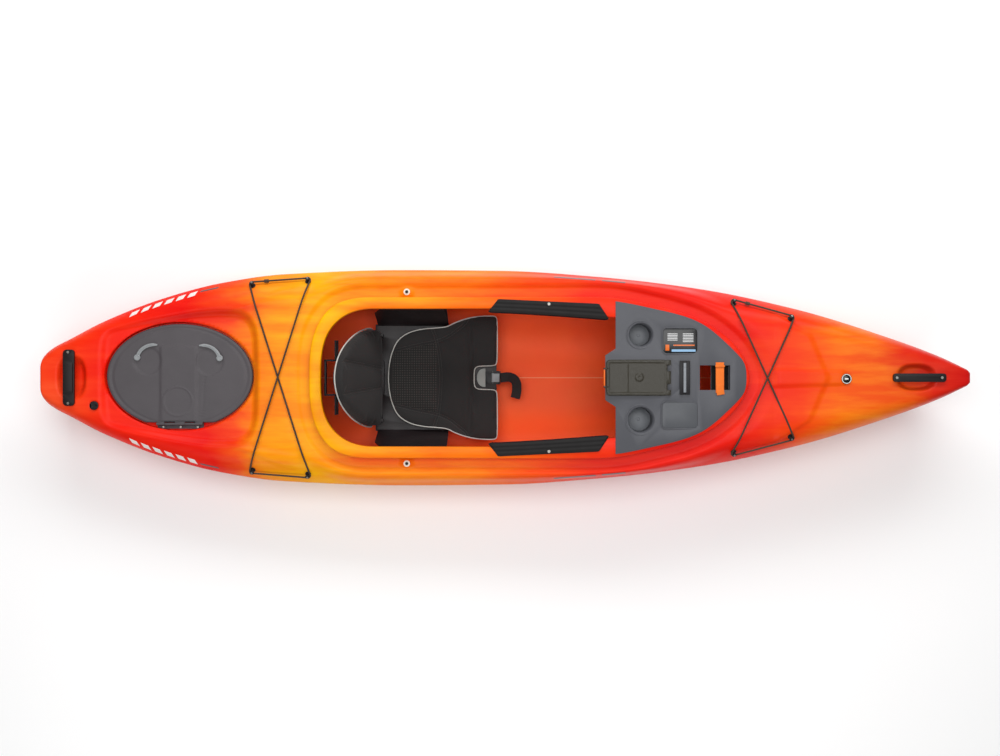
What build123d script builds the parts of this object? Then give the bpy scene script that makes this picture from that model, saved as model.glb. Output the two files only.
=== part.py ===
"""Recreational sit-inside kayak: one-piece moulded hull, seat, dashboard, hatch and rigging.

Frame: +X towards the bow, +Y to port, +Z up, in millimetres.
Origin: on the ground under the middle of the hull's length and beam.
"""

import functools
import math
import os

from build123d import *

# ---------------------------------------------------------------- driving dimensions
LENGTH = 3200.0
BEAM = 752.0
WALL = 5.0
CROWN_POWER = 8.0         # how square the deck's shoulders are

# Lines plan: (station, value). Stations run from -1 at the stern to +1 at the bow.
HALF_BREADTH = [(-1.0, 0.16), (-0.992, 0.215), (-0.975, 0.275), (-0.94, 0.355), (-0.866, 0.52),
                (-0.738, 0.735), (-0.61, 0.88), (-0.478, 0.96), (-0.22, 1.0), (0.0, 0.992),
                (0.21, 0.934), (0.425, 0.822), (0.64, 0.625), (0.8125, 0.396), (0.944, 0.186),
                (1.0, 0.07)]
SEAM_HEIGHT = [(-1.0, 236.0), (-0.69, 222.0), (-0.25, 212.0), (0.19, 222.0), (0.56, 248.0), (1.0, 288.0)]
KEEL_HEIGHT = [(-1.0, 96.0), (-0.94, 38.0), (-0.86, 8.0), (-0.76, -1.0), (0.56, -1.0), (0.72, 8.0),
               (0.86, 45.0), (0.95, 104.0), (1.0, 160.0)]
CROWN_HEIGHT = [(-1.0, 262.0), (-0.85, 273.0), (-0.53, 284.0), (-0.375, 291.0), (0.0, 306.0),
                (0.2, 322.0), (0.36, 330.0), (0.52, 332.0), (0.75, 334.0), (0.94, 330.0), (1.0, 318.0)]
STATIONS = [-1.0, -0.985, -0.96, -0.92, -0.85, -0.76, -0.66, -0.55, -0.42, -0.28, -0.12, 0.05,
            0.22, 0.38, 0.52, 0.64, 0.74, 0.83, 0.91, 0.965, 1.0]
FLAT_FLOOR = 0.5          # share of the half-breadth where the bilge starts to rise
KEEL_CHANNEL = 7.0        # depth of the grooves between the keel and the side runners

# Cockpit coaming
COCKPIT_AFT = -622.0
COCKPIT_FRONT = 797.0
COCKPIT_HALF = 236.0
RIM_AFT = -662.0
RIM_FRONT = 839.0
RIM_HALF = 276.0
RIM_HEIGHT = [(-0.5, 307.0), (-0.2, 308.0), (0.0, 317.0), (0.24, 338.0), (0.4, 347.0), (0.6, 351.0)]
RIM_THICK = 5.0
RIM_OVERHANG = 10.0

# Stern hatch
HATCH_FROM_STERN = 484.0
HATCH_LENGTH = 506.0
HATCH_WIDTH = 362.0
HATCH_SHIFT = 5.0         # to port, which leaves room for the hinge
HATCH_FLOOR = 240.0       # floor of the moulded basin
HATCH_GAP = 10.0          # between the lid and the basin's side
HATCH_COVER = 28.0        # how far the lid reaches past the opening
HATCH_RIM_RISE = 12.0
SEAL_THICK = 3.0
LID_THICK = 3.5
HINGE_Y = -160.0
HINGE_LENGTH = 160.0
HINGE_R = 4.0
HINGE_PIN_R = 1.6

# Seat
SEAT_BOLT_X = -328.0
SEAT_BOLT_Y = 295.0
BOLT_R = 3.0
PAN_FLOOR = 62.0          # underside of the seat pan
PAN_THICK = 4.0
PAN_HALF = 192.0
BACK_PIVOT_X = -440.0
BACK_PIVOT_Z = 86.0
BACK_LEAN = 22.5
BACK_HALF = 180.0         # backrest pad, half its width and its height up the lean
BACK_HEIGHT = 333.0
LIFTER_X = -216.0
LIFTER_Z = 73.0

# Dashboard
DASH_AFT = 385.0
DASH_THICK = 4.0
DASH_INSET = 12.0
CUP_X = 469.5
CUP_DEPTH = 78.0
BOX_AFT = 352.0           # dry box, aft and fore edge of its lid
BOX_FORE = 562.0
BOX_HALF = 62.0
BOX_DEPTH = 70.0

# Foot braces
RAIL_LENGTH = 380.0
RAIL_MIDDLE = (620.0, 252.0, 150.0)
RAIL_TOE_IN = 8.5

FIT_GAP = 0.3             # between pieces that lie on each other
RUN_GAP = 0.05            # radial clearance of a turning fit
CORD_R = 3.0
KNOT_R = 6.0

# ---------------------------------------------------------------- lines and surfaces


def table_value(table, station):
    """Shape-preserving cubic through a table of (station, value)."""
    xs = [a for a, _ in table]
    ys = [b for _, b in table]
    if station <= xs[0]:
        return ys[0]
    if station >= xs[-1]:
        return ys[-1]
    h = [b - a for a, b in zip(xs, xs[1:])]
    d = [(b - a) / w for a, b, w in zip(ys, ys[1:], h)]
    m = [d[0]] + [0.0] * (len(xs) - 2) + [d[-1]]
    for i in range(1, len(xs) - 1):
        if d[i - 1] * d[i] > 0:
            w1, w2 = 2 * h[i] + h[i - 1], h[i] + 2 * h[i - 1]
            m[i] = (w1 + w2) / (w1 / d[i - 1] + w2 / d[i])
    i = max(k for k in range(len(h)) if xs[k] <= station)
    s = (station - xs[i]) / h[i]
    start = (1 + 2 * s) * (1 - s) ** 2 * ys[i] + s * (1 - s) ** 2 * h[i] * m[i]
    return start + s * s * (3 - 2 * s) * ys[i + 1] + s * s * (s - 1) * h[i] * m[i + 1]


def half_breadth(x):
    return table_value(HALF_BREADTH, 2 * x / LENGTH) * BEAM / 2


def seam_z(x):
    return table_value(SEAM_HEIGHT, 2 * x / LENGTH)


def keel_z(x):
    return table_value(KEEL_HEIGHT, 2 * x / LENGTH)


def rim_z(x):
    """Top of the coaming rim, level from side to side."""
    return table_value(RIM_HEIGHT, 2 * x / LENGTH)


def deck_z(x, y):
    """Height of the deck's outer surface."""
    u = min(1.0, abs(y) / half_breadth(x))
    crown = table_value(CROWN_HEIGHT, 2 * x / LENGTH)
    return seam_z(x) + (crown - seam_z(x)) * (1 - u ** CROWN_POWER)


def deck_normal(x, y):
    slope_x = (deck_z(x + 1, y) - deck_z(x - 1, y)) / 2
    slope_y = (deck_z(x, y + 1) - deck_z(x, y - 1)) / 2
    return Vector(-slope_x, -slope_y, 1).normalized()


def bottom_z(x, u, keel, seam):
    """Height of the hull's bottom at the share u of the half-breadth."""
    ends = min(1.0, max(0.0, (abs(2 * x / LENGTH) - 0.45) / 0.5))
    vee = ends * ends * (3 - 2 * ends)
    flat = (max(0.0, u - FLAT_FLOOR) / (1 - FLAT_FLOOR)) ** 3
    sharp = 0.25 * u + 0.75 * u ** 2.2
    runner = 0.62
    groove = KEEL_CHANNEL / 2 * (1 - math.cos(2 * math.pi * min(u, runner) / runner)) * (1 - vee)
    return keel + (seam - keel) * ((1 - vee) * flat + vee * sharp) + groove


DECK_SHARES = [-1, -0.975, -0.94, -0.89, -0.82, -0.72, -0.56, -0.3, 0, 0.3, 0.56, 0.72, 0.82, 0.89, 0.94, 0.975, 1]
FLOOR_SHARES = [1, 0.95, 0.88, 0.8, 0.71, 0.62, 0.52, 0.42, 0.31, 0.2, 0.1, 0]


def section(x, inset):
    """Closed hull section: one spline for the deck and one for the bottom."""
    b = half_breadth(x) - inset
    top = [Vector(x, u * b, deck_z(x, u * b) - inset) for u in DECK_SHARES]
    port = [Vector(x, u * b, bottom_z(x, u, keel_z(x) + inset, top[-1].Z)) for u in FLOOR_SHARES[1:]]
    starboard = [Vector(x, -p.Y, p.Z) for p in reversed(port[:-1])]
    return Wire([Spline(*top), Spline(top[-1], *port, *starboard, top[0])])


@functools.cache
def hull_body(inset=0.0):
    end = LENGTH / 2 - inset
    places = [max(-end, min(end, s * LENGTH / 2)) for s in STATIONS]
    return Solid.make_loft([section(x, inset) for x in places])


@functools.cache
def under_deck(rise):
    """Everything from mid-depth up to the deck surface moved up by rise."""
    base = 120.0
    wires = []
    for s in STATIONS:
        x = s * LENGTH / 2
        b = half_breadth(x)
        top = [Vector(x, u * b, deck_z(x, u * b) + rise) for u in DECK_SHARES]
        port, starboard = Vector(x, b, base), Vector(x, -b, base)
        wires.append(Wire([Spline(*top), Line(top[-1], port), Line(port, starboard), Line(starboard, top[0])]))
    return Solid.make_loft(wires)


def box(x0, x1, y0, y1, z0, z1):
    return Pos((x0 + x1) / 2, (y0 + y1) / 2, (z0 + z1) / 2) * Box(x1 - x0, y1 - y0, z1 - z0)


def upright(x, y, z0, z1, r):
    return Pos(x, y, (z0 + z1) / 2) * Cylinder(r, z1 - z0)


def across(x, y0, y1, z, r):
    """Cylinder along Y."""
    return Pos(x, (y0 + y1) / 2, z) * Rot(90, 0, 0) * Cylinder(r, y1 - y0)


def along(x0, x1, y, z, r):
    """Cylinder along X."""
    return Pos((x0 + x1) / 2, y, z) * Rot(0, 90, 0) * Cylinder(r, x1 - x0)


def on_deck(x, y, low, high, r):
    """Cylinder square to the deck, between two heights over it."""
    n = deck_normal(x, y)
    foot = Vector(x, y, deck_z(x, y)) + n * low
    return Plane(foot, z_dir=n) * Pos(0, 0, (high - low) / 2) * Cylinder(r, high - low)


def prism(plan, low, high):
    return extrude(Pos(0, 0, low) * plan, high - low)


def rim_band(low, high):
    """Slab between two heights over the coaming's top, level from side to side."""
    xs = [RIM_AFT - 20, -500, -300, -100, 100, 300, 500, 700, RIM_FRONT + 20]
    lower = [(x, rim_z(x) + low) for x in xs]
    upper = [(x, rim_z(x) + high) for x in xs]
    outline = [Spline(*lower), Line(lower[-1], upper[-1]), Spline(*reversed(upper)), Line(upper[0], lower[0])]
    return extrude(Plane.XZ * make_face(outline), RIM_HALF * 1.5, both=True)


def on_rim(plan, low, high):
    return prism(plan, 150, 500) & rim_band(low, high)


def both_sides(shape):
    return shape + mirror(shape, about=Plane.XZ)


def symmetric_face(half):
    """Face from the port half of an outline, which starts and ends on the centreline."""
    return make_face(half + [mirror(e, about=Plane.XZ) for e in half])


def cockpit_plan(grow=0.0):
    """Inner edge of the coaming, moved out by grow."""
    a, f, w = COCKPIT_AFT - grow, COCKPIT_FRONT + grow, COCKPIT_HALF + grow
    aft = Spline((a, 0), (a + 24, w - 86), (a + 82, w - 24), (a + 182, w), tangents=[(0, 1), (1, 0)])
    side = Line((a + 182, w), (-30, w))
    front = Spline((-30, w), (200, w - 14), (f - 409, w - 32), (f - 288, w - 44), (f - 157, w - 74),
                   (f - 62, w - 128), (f, 0), tangents=[(1, 0), (0, -1)])
    return symmetric_face([aft, side, front])


def rim_plan(inset=0.0):
    """Outer edge of the coaming, moved in by inset."""
    a, f, w = RIM_AFT + inset, RIM_FRONT - inset, RIM_HALF - inset
    aft = Spline((a, 0), (a + 22, w - 111), (a + 82, w - 31), (a + 212, w), tangents=[(0, 1), (1, 0)])
    side = Line((a + 212, w), (250, w))
    front = Spline((250, w), (388, w - 5), (509, w - 29), (681, w - 84), (f - 72, w - 143), (f - 20, 68),
                   (f, 0), tangents=[(1, 0), (0, -1)])
    return symmetric_face([aft, side, front])


# ---------------------------------------------------------------- places that pieces share

HATCH_X = -LENGTH / 2 + HATCH_FROM_STERN
HATCH_RIM_TOP = HATCH_FLOOR + HATCH_RIM_RISE
LID_UNDER = HATCH_RIM_TOP + SEAL_THICK
LID_TOP = LID_UNDER + LID_THICK
HINGE_Z = LID_TOP + 1.5
LATCHES = [(HATCH_X - 146, 70.0, 1), (HATCH_X + 139, 68.0, -1)]     # pivot, and which way the lever points
LATCH_PIN_R = 3.0

BOW_SCOOP = (LENGTH / 2 - 250.0, LENGTH / 2 - 126.0, 49.0)     # aft end, fore end, half-width
STERN_SCOOP = (-LENGTH / 2 + 60.0, -LENGTH / 2 + 164.0, 77.0)
SCOOP_DEPTH = 28.0
BOW_HANDLE = (LENGTH / 2 - 272.0, LENGTH / 2 - 91.0, 14.5)
STERN_HANDLE = (-LENGTH / 2 + 86.0, -LENGTH / 2 + 125.0, 97.0)
HANDLE_THICK = 12.0
HANDLE_SCREWS = [(BOW_HANDLE[0] + 11, 0.0), (BOW_HANDLE[1] - 16, 0.0),
                 (sum(STERN_HANDLE[:2]) / 2, 87.0), (sum(STERN_HANDLE[:2]) / 2, -87.0)]

PLUG_X = -LENGTH / 2 + 192.0
PLUG_Y = -96.0
PLUG_R = 9.0
PLUG_DEPTH = 16.0
PLUG_SEAT = deck_z(PLUG_X, PLUG_Y) - 2.5

BOW_POSTS = [(792.0, 253.0), (984.0, 200.0)]                   # aft pair, fore pair
STERN_POSTS = [(-864.0, 318.0), (-672.0, 332.0)]
POSTS = [(x, side * y) for x, y in BOW_POSTS + STERN_POSTS for side in (1, -1)]
POST_R = 4.0
POST_CAP = 15.0
CORD_HEIGHT = 9.2
SCREW_R = 2.0

THIGH_SCREW = (159.0, 251.0)
BULKHEAD_X = -760.0
BULKHEAD_THICK = 45.0
BOSS_TOP = deck_z(SEAT_BOLT_X, SEAT_BOLT_Y) + 4.5


def scoop(place, corner, grow=0.0):
    """Hollow under a carry handle."""
    x0, x1, half = place
    floor = deck_z((x0 + x1) / 2, 0) - SCOOP_DEPTH - grow
    plan = Pos((x0 + x1) / 2, 0) * RectangleRounded(x1 - x0 + 2 * grow, 2 * (half + grow), corner + grow)
    return prism(plan, floor, floor + 200)


def hatch_plan(grow):
    return Pos(HATCH_X, HATCH_SHIFT) * Ellipse(HATCH_LENGTH / 2 + grow, HATCH_WIDTH / 2 + grow)


def deck_screws():
    """Shanks of every screw that goes into the deck, as (x, y, lowest, highest)."""
    low, high = -WALL - 3, HANDLE_THICK
    found = [(x, y, low, high) for x, y in HANDLE_SCREWS]
    found += [(x, y, low, POST_CAP + 3) for x, y in POSTS]
    return found


def hull_shell():
    hull = hull_body() - box(-LENGTH, LENGTH, -BEAM, BEAM, -100, 0)
    hollow = hull_body(WALL)
    hollow -= prism(hatch_plan(HATCH_GAP + WALL), HATCH_FLOOR - WALL, 400)
    hollow -= scoop(BOW_SCOOP, 30, WALL)
    hollow -= scoop(STERN_SCOOP, 40, WALL)
    hollow -= upright(PLUG_X, PLUG_Y, PLUG_SEAT - PLUG_DEPTH, 400, PLUG_R + 7)
    shell = hull - hollow
    shell -= prism(hatch_plan(HATCH_GAP), HATCH_FLOOR, 400)
    shell -= prism(hatch_plan(-HATCH_COVER), HATCH_FLOOR - 30, 400)
    shell -= scoop(BOW_SCOOP, 30)
    shell -= scoop(STERN_SCOOP, 40)
    shell += prism(hatch_plan(WALL - HATCH_COVER), HATCH_FLOOR - WALL, HATCH_RIM_TOP) - prism(
        hatch_plan(-HATCH_COVER), HATCH_FLOOR - 30, 400)
    shell -= prism(rim_plan(RIM_OVERHANG + RIM_THICK), 160, 500)
    neck = prism(rim_plan(RIM_OVERHANG), 200, 400) - prism(rim_plan(RIM_OVERHANG + RIM_THICK), 160, 500)
    shell += (neck & rim_band(-120, -RIM_THICK / 2)) - under_deck(-WALL)
    lip = prism(rim_plan(), 150, 500) - prism(cockpit_plan(), 100, 600)
    shell += lip & rim_band(-RIM_THICK, 0)
    edge = prism(cockpit_plan(RIM_THICK), 150, 500) - prism(cockpit_plan(), 100, 600)
    shell += edge & rim_band(-18, -RIM_THICK / 2)
    for side in (1, -1):
        boss = upright(SEAT_BOLT_X, side * SEAT_BOLT_Y, 240, BOSS_TOP, 15) - under_deck(-WALL)
        shell += boss
        shell -= upright(SEAT_BOLT_X, side * SEAT_BOLT_Y, 200, 400, BOLT_R)
        shell -= upright(THIGH_SCREW[0], side * THIGH_SCREW[1], 300, 400, SCREW_R)
    shell -= upright(PLUG_X, PLUG_Y, PLUG_SEAT, 400, PLUG_R + 7)
    shell -= upright(PLUG_X, PLUG_Y, PLUG_SEAT - PLUG_DEPTH - 20, 400, PLUG_R + RUN_GAP)
    for x, y, low, high in deck_screws():
        shell -= on_deck(x, y, low - 5, high, SCREW_R)
    for x in hinge_screw_places():
        shell -= upright(x, HINGE_Y - 11, HATCH_FLOOR - 20, 400, SCREW_R)
    return shell


# ---------------------------------------------------------------- hull furniture


def stern_bulkhead():
    slab = box(BULKHEAD_X, BULKHEAD_X + BULKHEAD_THICK, -BEAM, BEAM, -50, 500)
    return slab & hull_body(WALL)


def bow_pillar():
    """Foam block that holds the foredeck up."""
    return box(LENGTH / 2 - 560, LENGTH / 2 - 290, -32, 32, -50, 500) & hull_body(WALL)


def bow_handle():
    x0, x1, half = BOW_HANDLE
    bar = prism(Pos((x0 + x1) / 2, 0) * RectangleRounded(x1 - x0, 2 * half, 10), 200, 400)
    bar = (bar & under_deck(HANDLE_THICK)) - under_deck(0.1)
    for x, y in HANDLE_SCREWS[:2]:
        bar -= on_deck(x, y, -5, 30, SCREW_R)
    return bar


def stern_handle():
    x0, x1, half = STERN_HANDLE
    middle = (x0 + x1) / 2
    bar = prism(Pos(middle, 0) * RectangleRounded(x1 - x0, 2 * half, 12), 200, 400)
    bar = (bar & under_deck(HANDLE_THICK)) - under_deck(0.1)
    top = deck_z(middle, 0) + HANDLE_THICK
    grip = [(-70, top - 8), (-45, top + 7), (45, top + 7), (70, top - 8), (45, top - 5), (-45, top - 5)]
    bar += extrude(Plane.YZ.offset(x0 + 4) * make_face(Polyline(*grip, close=True)), x1 - x0 - 8)
    for x, y in HANDLE_SCREWS[2:]:
        bar -= on_deck(x, y, -5, 30, SCREW_R)
    return bar


def screw_set(places, head_at, head_r=4.5):
    """Pan-head screws: (x, y, lowest, highest) with the head's seat at head_at over the deck."""
    made = []
    for x, y, low, high in places:
        made.append(on_deck(x, y, low, head_at, SCREW_R) + on_deck(x, y, head_at, head_at + 2.2, head_r))
    return Compound(made)


def bollard(x, y):
    """Low post that the deck cord runs around."""
    post = on_deck(x, y, FIT_GAP, 3, 10) + on_deck(x, y, 2, POST_CAP + 1, POST_R) + on_deck(x, y, POST_CAP, POST_CAP + 3, 8)
    return post - on_deck(x, y, -1, POST_CAP + 4, SCREW_R)


def tangent_from(point, heights, forward):
    """Steepest line from an end of the run that still clears the deck, as (height, slope) in share of run."""
    t0 = 0.0 if forward else 1.0
    slopes = [(z - point) / (t - t0) for t, z in heights if abs(t - t0) > 0.04]
    return max(slopes) if forward else min(slopes)


def over_deck(start, end, lift):
    """Two corners of a cord drawn tight over the deck from start to end."""
    lerp = lambda t: start + (end - start) * t
    heights = [(k / 60, deck_z(lerp(k / 60).X, lerp(k / 60).Y) + lift) for k in range(61)]
    up = tangent_from(start.Z, heights, True)
    down = tangent_from(end.Z, heights, False)
    t_mid = 0.5
    z_mid = deck_z(lerp(t_mid).X, lerp(t_mid).Y) + lift
    step = 0.02
    ahead, behind = lerp(t_mid + step), lerp(t_mid - step)
    slope = (deck_z(ahead.X, ahead.Y) - deck_z(behind.X, behind.Y)) / (2 * step)
    t1 = (z_mid - slope * t_mid - start.Z) / (up - slope)
    t2 = (z_mid - slope * t_mid - end.Z + down) / (down - slope)
    return [Vector(lerp(t).X, lerp(t).Y, z_mid + slope * (t - t_mid)) for t in (t1, t2)]


def cord_loop(posts, crossing_lift):
    """Bow-tie loop of cord: two crossed diagonals and the two side runs, knotted beside one post."""
    (xa, ya), (xf, yf) = posts
    order = [(xa, ya), (xf, -yf), (xa, -ya), (xf, yf)]
    turn = POST_R + CORD_R + 1.5
    eyes = [Vector(x, y, deck_z(x, y)) + deck_normal(x, y) * CORD_HEIGHT for x, y in order]
    corners = list(eyes)
    lifts = [CORD_R + 1.2, CORD_R + 1.2 + crossing_lift]
    mids = {}
    for _ in range(3):
        mids = {0: over_deck(corners[0], corners[1], lifts[0]), 2: over_deck(corners[2], corners[3], lifts[1])}
        around = [(corners[3], mids[0][0]), (mids[0][1], corners[2]), (corners[1], mids[2][0]), (mids[2][1], corners[0])]
        moved = []
        for eye, corner, (before, after) in zip(eyes, corners, around):
            a, b = (before - corner).normalized(), (after - corner).normalized()
            half = math.radians(a.get_angle(b)) / 2
            moved.append(eye - (a + b).normalized() * (turn / math.sin(half)))
        corners = moved
    knot = corners[3] + (corners[0] - corners[3]) * 0.72
    run = (corners[0] - corners[3]).normalized()
    route = [knot + run, corners[0], *mids[0], corners[1], corners[2], *mids[2], corners[3], knot - run]
    radii = [turn, 120, 120, turn, turn, 120, 120, turn]
    path = FilletPolyline(*route, radius=radii)
    start = Plane(path @ 0, z_dir=path % 0)
    cord = sweep(start * Circle(CORD_R), path=path)
    return cord, knot, run


def bungee(posts):
    cord, knot, direction = cord_loop(posts, 2 * CORD_R + 1.0)
    return cord + Plane(knot, z_dir=direction) * Cylinder(KNOT_R, 15)


def thigh_plan(grow=0.0):
    aft, fore = -47.0, 362.0
    inner = [(aft + 24, COCKPIT_HALF - 9), (200, COCKPIT_HALF - 22), (fore - 22, COCKPIT_HALF - 34)]
    outer = [(fore, 252), (200, 262), (aft, 268)]
    return make_face(Polyline(*inner, *outer, close=True))


def thigh_pad():
    top = on_rim(thigh_plan(), 0, 7)
    flap = prism(thigh_plan(), 150, 500) & prism(cockpit_plan(-FIT_GAP), 150, 500)
    pad = top + (flap & rim_band(-24, 7))
    return pad - upright(THIGH_SCREW[0], THIGH_SCREW[1], 300, 400, SCREW_R)


def thigh_screw():
    x, y = THIGH_SCREW
    seat = rim_z(x) + 7.6
    return upright(x, y, seat - 16, seat, SCREW_R) + upright(x, y, seat, seat + 2.2, 5)


# ---------------------------------------------------------------- hatch


def hinge_screw_places():
    return [HATCH_X - 60, HATCH_X, HATCH_X + 60]


def knuckles():
    """Five knuckles along the hinge, as (start, end)."""
    marks = [-0.5, -0.33, -0.11, 0.11, 0.33, 0.5]
    at = [HATCH_X + HINGE_LENGTH * m for m in marks]
    return [(a + FIT_GAP, b - FIT_GAP) for a, b in zip(at, at[1:])]


def hatch_lid():
    keep = box(-LENGTH, LENGTH, HINGE_Y + 5, BEAM, 0, 500)
    lid = prism(hatch_plan(0), LID_UNDER, LID_TOP)
    lid = lid & keep
    skirt = prism(hatch_plan(0), HATCH_FLOOR + 4, LID_UNDER) - prism(hatch_plan(-3), 200, 400)
    lid += skirt & box(-LENGTH, LENGTH, HINGE_Y + 12, BEAM, 0, 500)
    for x0, x1 in knuckles()[::2]:
        lid += along(x0, x1, HINGE_Y, HINGE_Z, HINGE_R)
        lid += box(x0, x1, HINGE_Y, HINGE_Y + 7, LID_UNDER + 1, LID_TOP)
    lid -= along(HATCH_X - HINGE_LENGTH, HATCH_X + HINGE_LENGTH, HINGE_Y, HINGE_Z, HINGE_PIN_R + RUN_GAP)
    for x, y, side in LATCHES:
        lid -= upright(x, y, LID_UNDER - 5, LID_TOP + 20, LATCH_PIN_R + RUN_GAP)
    return lid


def hinge_base():
    """Leaf on the basin floor with the knuckles of the hull's side."""
    leaf = box(HATCH_X - HINGE_LENGTH / 2, HATCH_X + HINGE_LENGTH / 2, HINGE_Y - 17, HINGE_Y + 3,
               HATCH_FLOOR, HATCH_FLOOR + 3)
    for x0, x1 in knuckles()[1::2]:
        leaf += box(x0, x1, HINGE_Y - 3, HINGE_Y + 3, HATCH_FLOOR, HINGE_Z)
        leaf += along(x0, x1, HINGE_Y, HINGE_Z, HINGE_R)
    leaf -= along(HATCH_X - HINGE_LENGTH, HATCH_X + HINGE_LENGTH, HINGE_Y, HINGE_Z, HINGE_PIN_R)
    for x in hinge_screw_places():
        leaf -= upright(x, HINGE_Y - 11, 200, 400, SCREW_R)
    return leaf


def hinge_screws():
    y = HINGE_Y - 11
    seat = HATCH_FLOOR + 3
    made = [upright(x, y, seat - 12, seat, SCREW_R) + upright(x, y, seat, seat + 2, 3.6)
            for x in hinge_screw_places()]
    return Compound(made)


def latch(place):
    """Curved lever that turns on an upright pin in the lid."""
    x, y, side = place
    arc = ThreePointArc((0, 0), (side * 26, 38), (side * 67, 44))
    arm = extrude(trace(arc, line_width=12), 5)
    knob = Pos(0, 0, 3.5) * Cylinder(11, 7)
    pin = Pos(0, 0, -4.5) * Cylinder(LATCH_PIN_R, 9.5)
    return Pos(x, y, LID_TOP + FIT_GAP) * (arm + knob + pin)


# ---------------------------------------------------------------- drain plug


def drain_seal():
    seal = upright(PLUG_X, PLUG_Y, PLUG_SEAT, PLUG_SEAT + 2, PLUG_R + 4.5)
    return seal - upright(PLUG_X, PLUG_Y, PLUG_SEAT - 5, PLUG_SEAT + 5, PLUG_R + 1)


def drain_plug():
    plug = upright(PLUG_X, PLUG_Y, PLUG_SEAT + 2.02, PLUG_SEAT + 7, PLUG_R + 6)
    plug += upright(PLUG_X, PLUG_Y, PLUG_SEAT - PLUG_DEPTH, PLUG_SEAT + 4, PLUG_R)
    slot = box(PLUG_X - 12, PLUG_X + 12, PLUG_Y - 1.5, PLUG_Y + 1.5, PLUG_SEAT + 4.5, PLUG_SEAT + 9)
    return plug - slot


# ---------------------------------------------------------------- seat


def flange_plan():
    return Pos(-318, 276) * RectangleRounded(236, 60, 16)


def seat_pan():
    top = PAN_FLOOR + PAN_THICK
    pan = box(-456, -26, -PAN_HALF, PAN_HALF, PAN_FLOOR, top)
    wall = Polyline((PAN_HALF - 4, PAN_FLOOR + 2), (PAN_HALF + 12, 96), (COCKPIT_HALF + 16, 291))
    wing = extrude(Plane.YZ.offset(-448) * trace(wall, line_width=PAN_THICK), 255)
    slant = [(-480, 110), (-400, 300), (-480, 300)]
    wing -= extrude(Plane.XZ * make_face(Polyline(*slant, close=True)), BEAM / 2, both=True)
    below_deck = Pos(0, 0, -FIT_GAP) * hull_body(WALL) & under_deck(-WALL - FIT_GAP)
    flange = prism(flange_plan(), 200, 400) & below_deck
    flange -= Pos(0, 0, -PAN_THICK) * below_deck
    boss = upright(SEAT_BOLT_X, SEAT_BOLT_Y, NUT_SEAT, 300, 12) & below_deck
    wing = wing - (prism(flange_plan(), 100, 400) - below_deck)
    side = wing + flange + boss - upright(SEAT_BOLT_X, SEAT_BOLT_Y, 200, 400, BOLT_R)
    for y0, y1 in ((148, 156),):
        side += box(-454, -426, y0, y1, top - 1, BACK_PIVOT_Z + 13)
    pan += both_sides(side)
    pan += box(-443, -424, -60, 60, top, top + 34)
    for side_y in (-152, 152):
        pan -= across(BACK_PIVOT_X, side_y - 8, side_y + 8, BACK_PIVOT_Z, 4)
    for y0, y1 in LIFTER_LUGS:
        pan += box(LIFTER_X - 5, LIFTER_X + 5, y0, y1, top - 1, LIFTER_Z)
        pan += across(LIFTER_X, y0, y1, LIFTER_Z, 5)
    return pan - across(LIFTER_X, -BEAM / 2, BEAM / 2, LIFTER_Z, 2.5)


NUT_SEAT = deck_z(SEAT_BOLT_X, SEAT_BOLT_Y + 12) - WALL - FIT_GAP - PAN_THICK - 3
LIFTER_LUGS = [(-150, -120), (120, 150)]


def keel_blocks():
    """Foam blocks between the seat pan and the hull's bottom."""
    block = both_sides(box(-400, -120, 60, 150, -20, PAN_FLOOR))
    return block & hull_body(WALL)


def seat_bolts():
    made = []
    for side in (1, -1):
        y = side * SEAT_BOLT_Y
        bolt = upright(SEAT_BOLT_X, y, NUT_SEAT - 7, BOSS_TOP + 1.6, BOLT_R)
        bolt += Pos(SEAT_BOLT_X, y, BOSS_TOP + 1.6) * extrude(RegularPolygon(5.8, 6), 4)
        made.append(bolt)
    return Compound(made)


def seat_washers():
    ring = Pos(SEAT_BOLT_X, SEAT_BOLT_Y, BOSS_TOP) * extrude(Circle(11) - Circle(BOLT_R), 1.6)
    return Compound([ring, mirror(ring, about=Plane.XZ)])


def seat_nuts():
    nut = Pos(SEAT_BOLT_X, SEAT_BOLT_Y, NUT_SEAT - 5) * extrude(RegularPolygon(5.8, 6) - Circle(BOLT_R), 5)
    return Compound([nut, mirror(nut, about=Plane.XZ)])


CUSHION_LOW = PAN_FLOOR + PAN_THICK + FIT_GAP
CUSHION_HIGH = 104.0
LIFTER_TOP = LIFTER_Z + 1.5


def cushion_rear():
    half = [Spline((-414, 0), (-400, 96), (-378, 142), (-339, 172), (-289, 182), (-228, 183)),
            Line((-228, 183), (-228, 0))]
    body = prism(symmetric_face(half), CUSHION_LOW, CUSHION_HIGH)
    return fillet(body.edges().filter_by(Plane.XY).group_by(Axis.Z)[-1], 8)


def cushion_front():
    outline = [(-204, 0), (-204, 182), (-188, 184), (-160, 204), (-90, 226), (-14, 228), (-14, 74), (-20, 40), (-98, 40),
               (-98, 0)]
    shape = make_face(Polyline(*outline, *[(x, -y) for x, y in reversed(outline[1:-1])], close=True))
    return prism(shape, LIFTER_TOP + FIT_GAP, CUSHION_HIGH)


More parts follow.
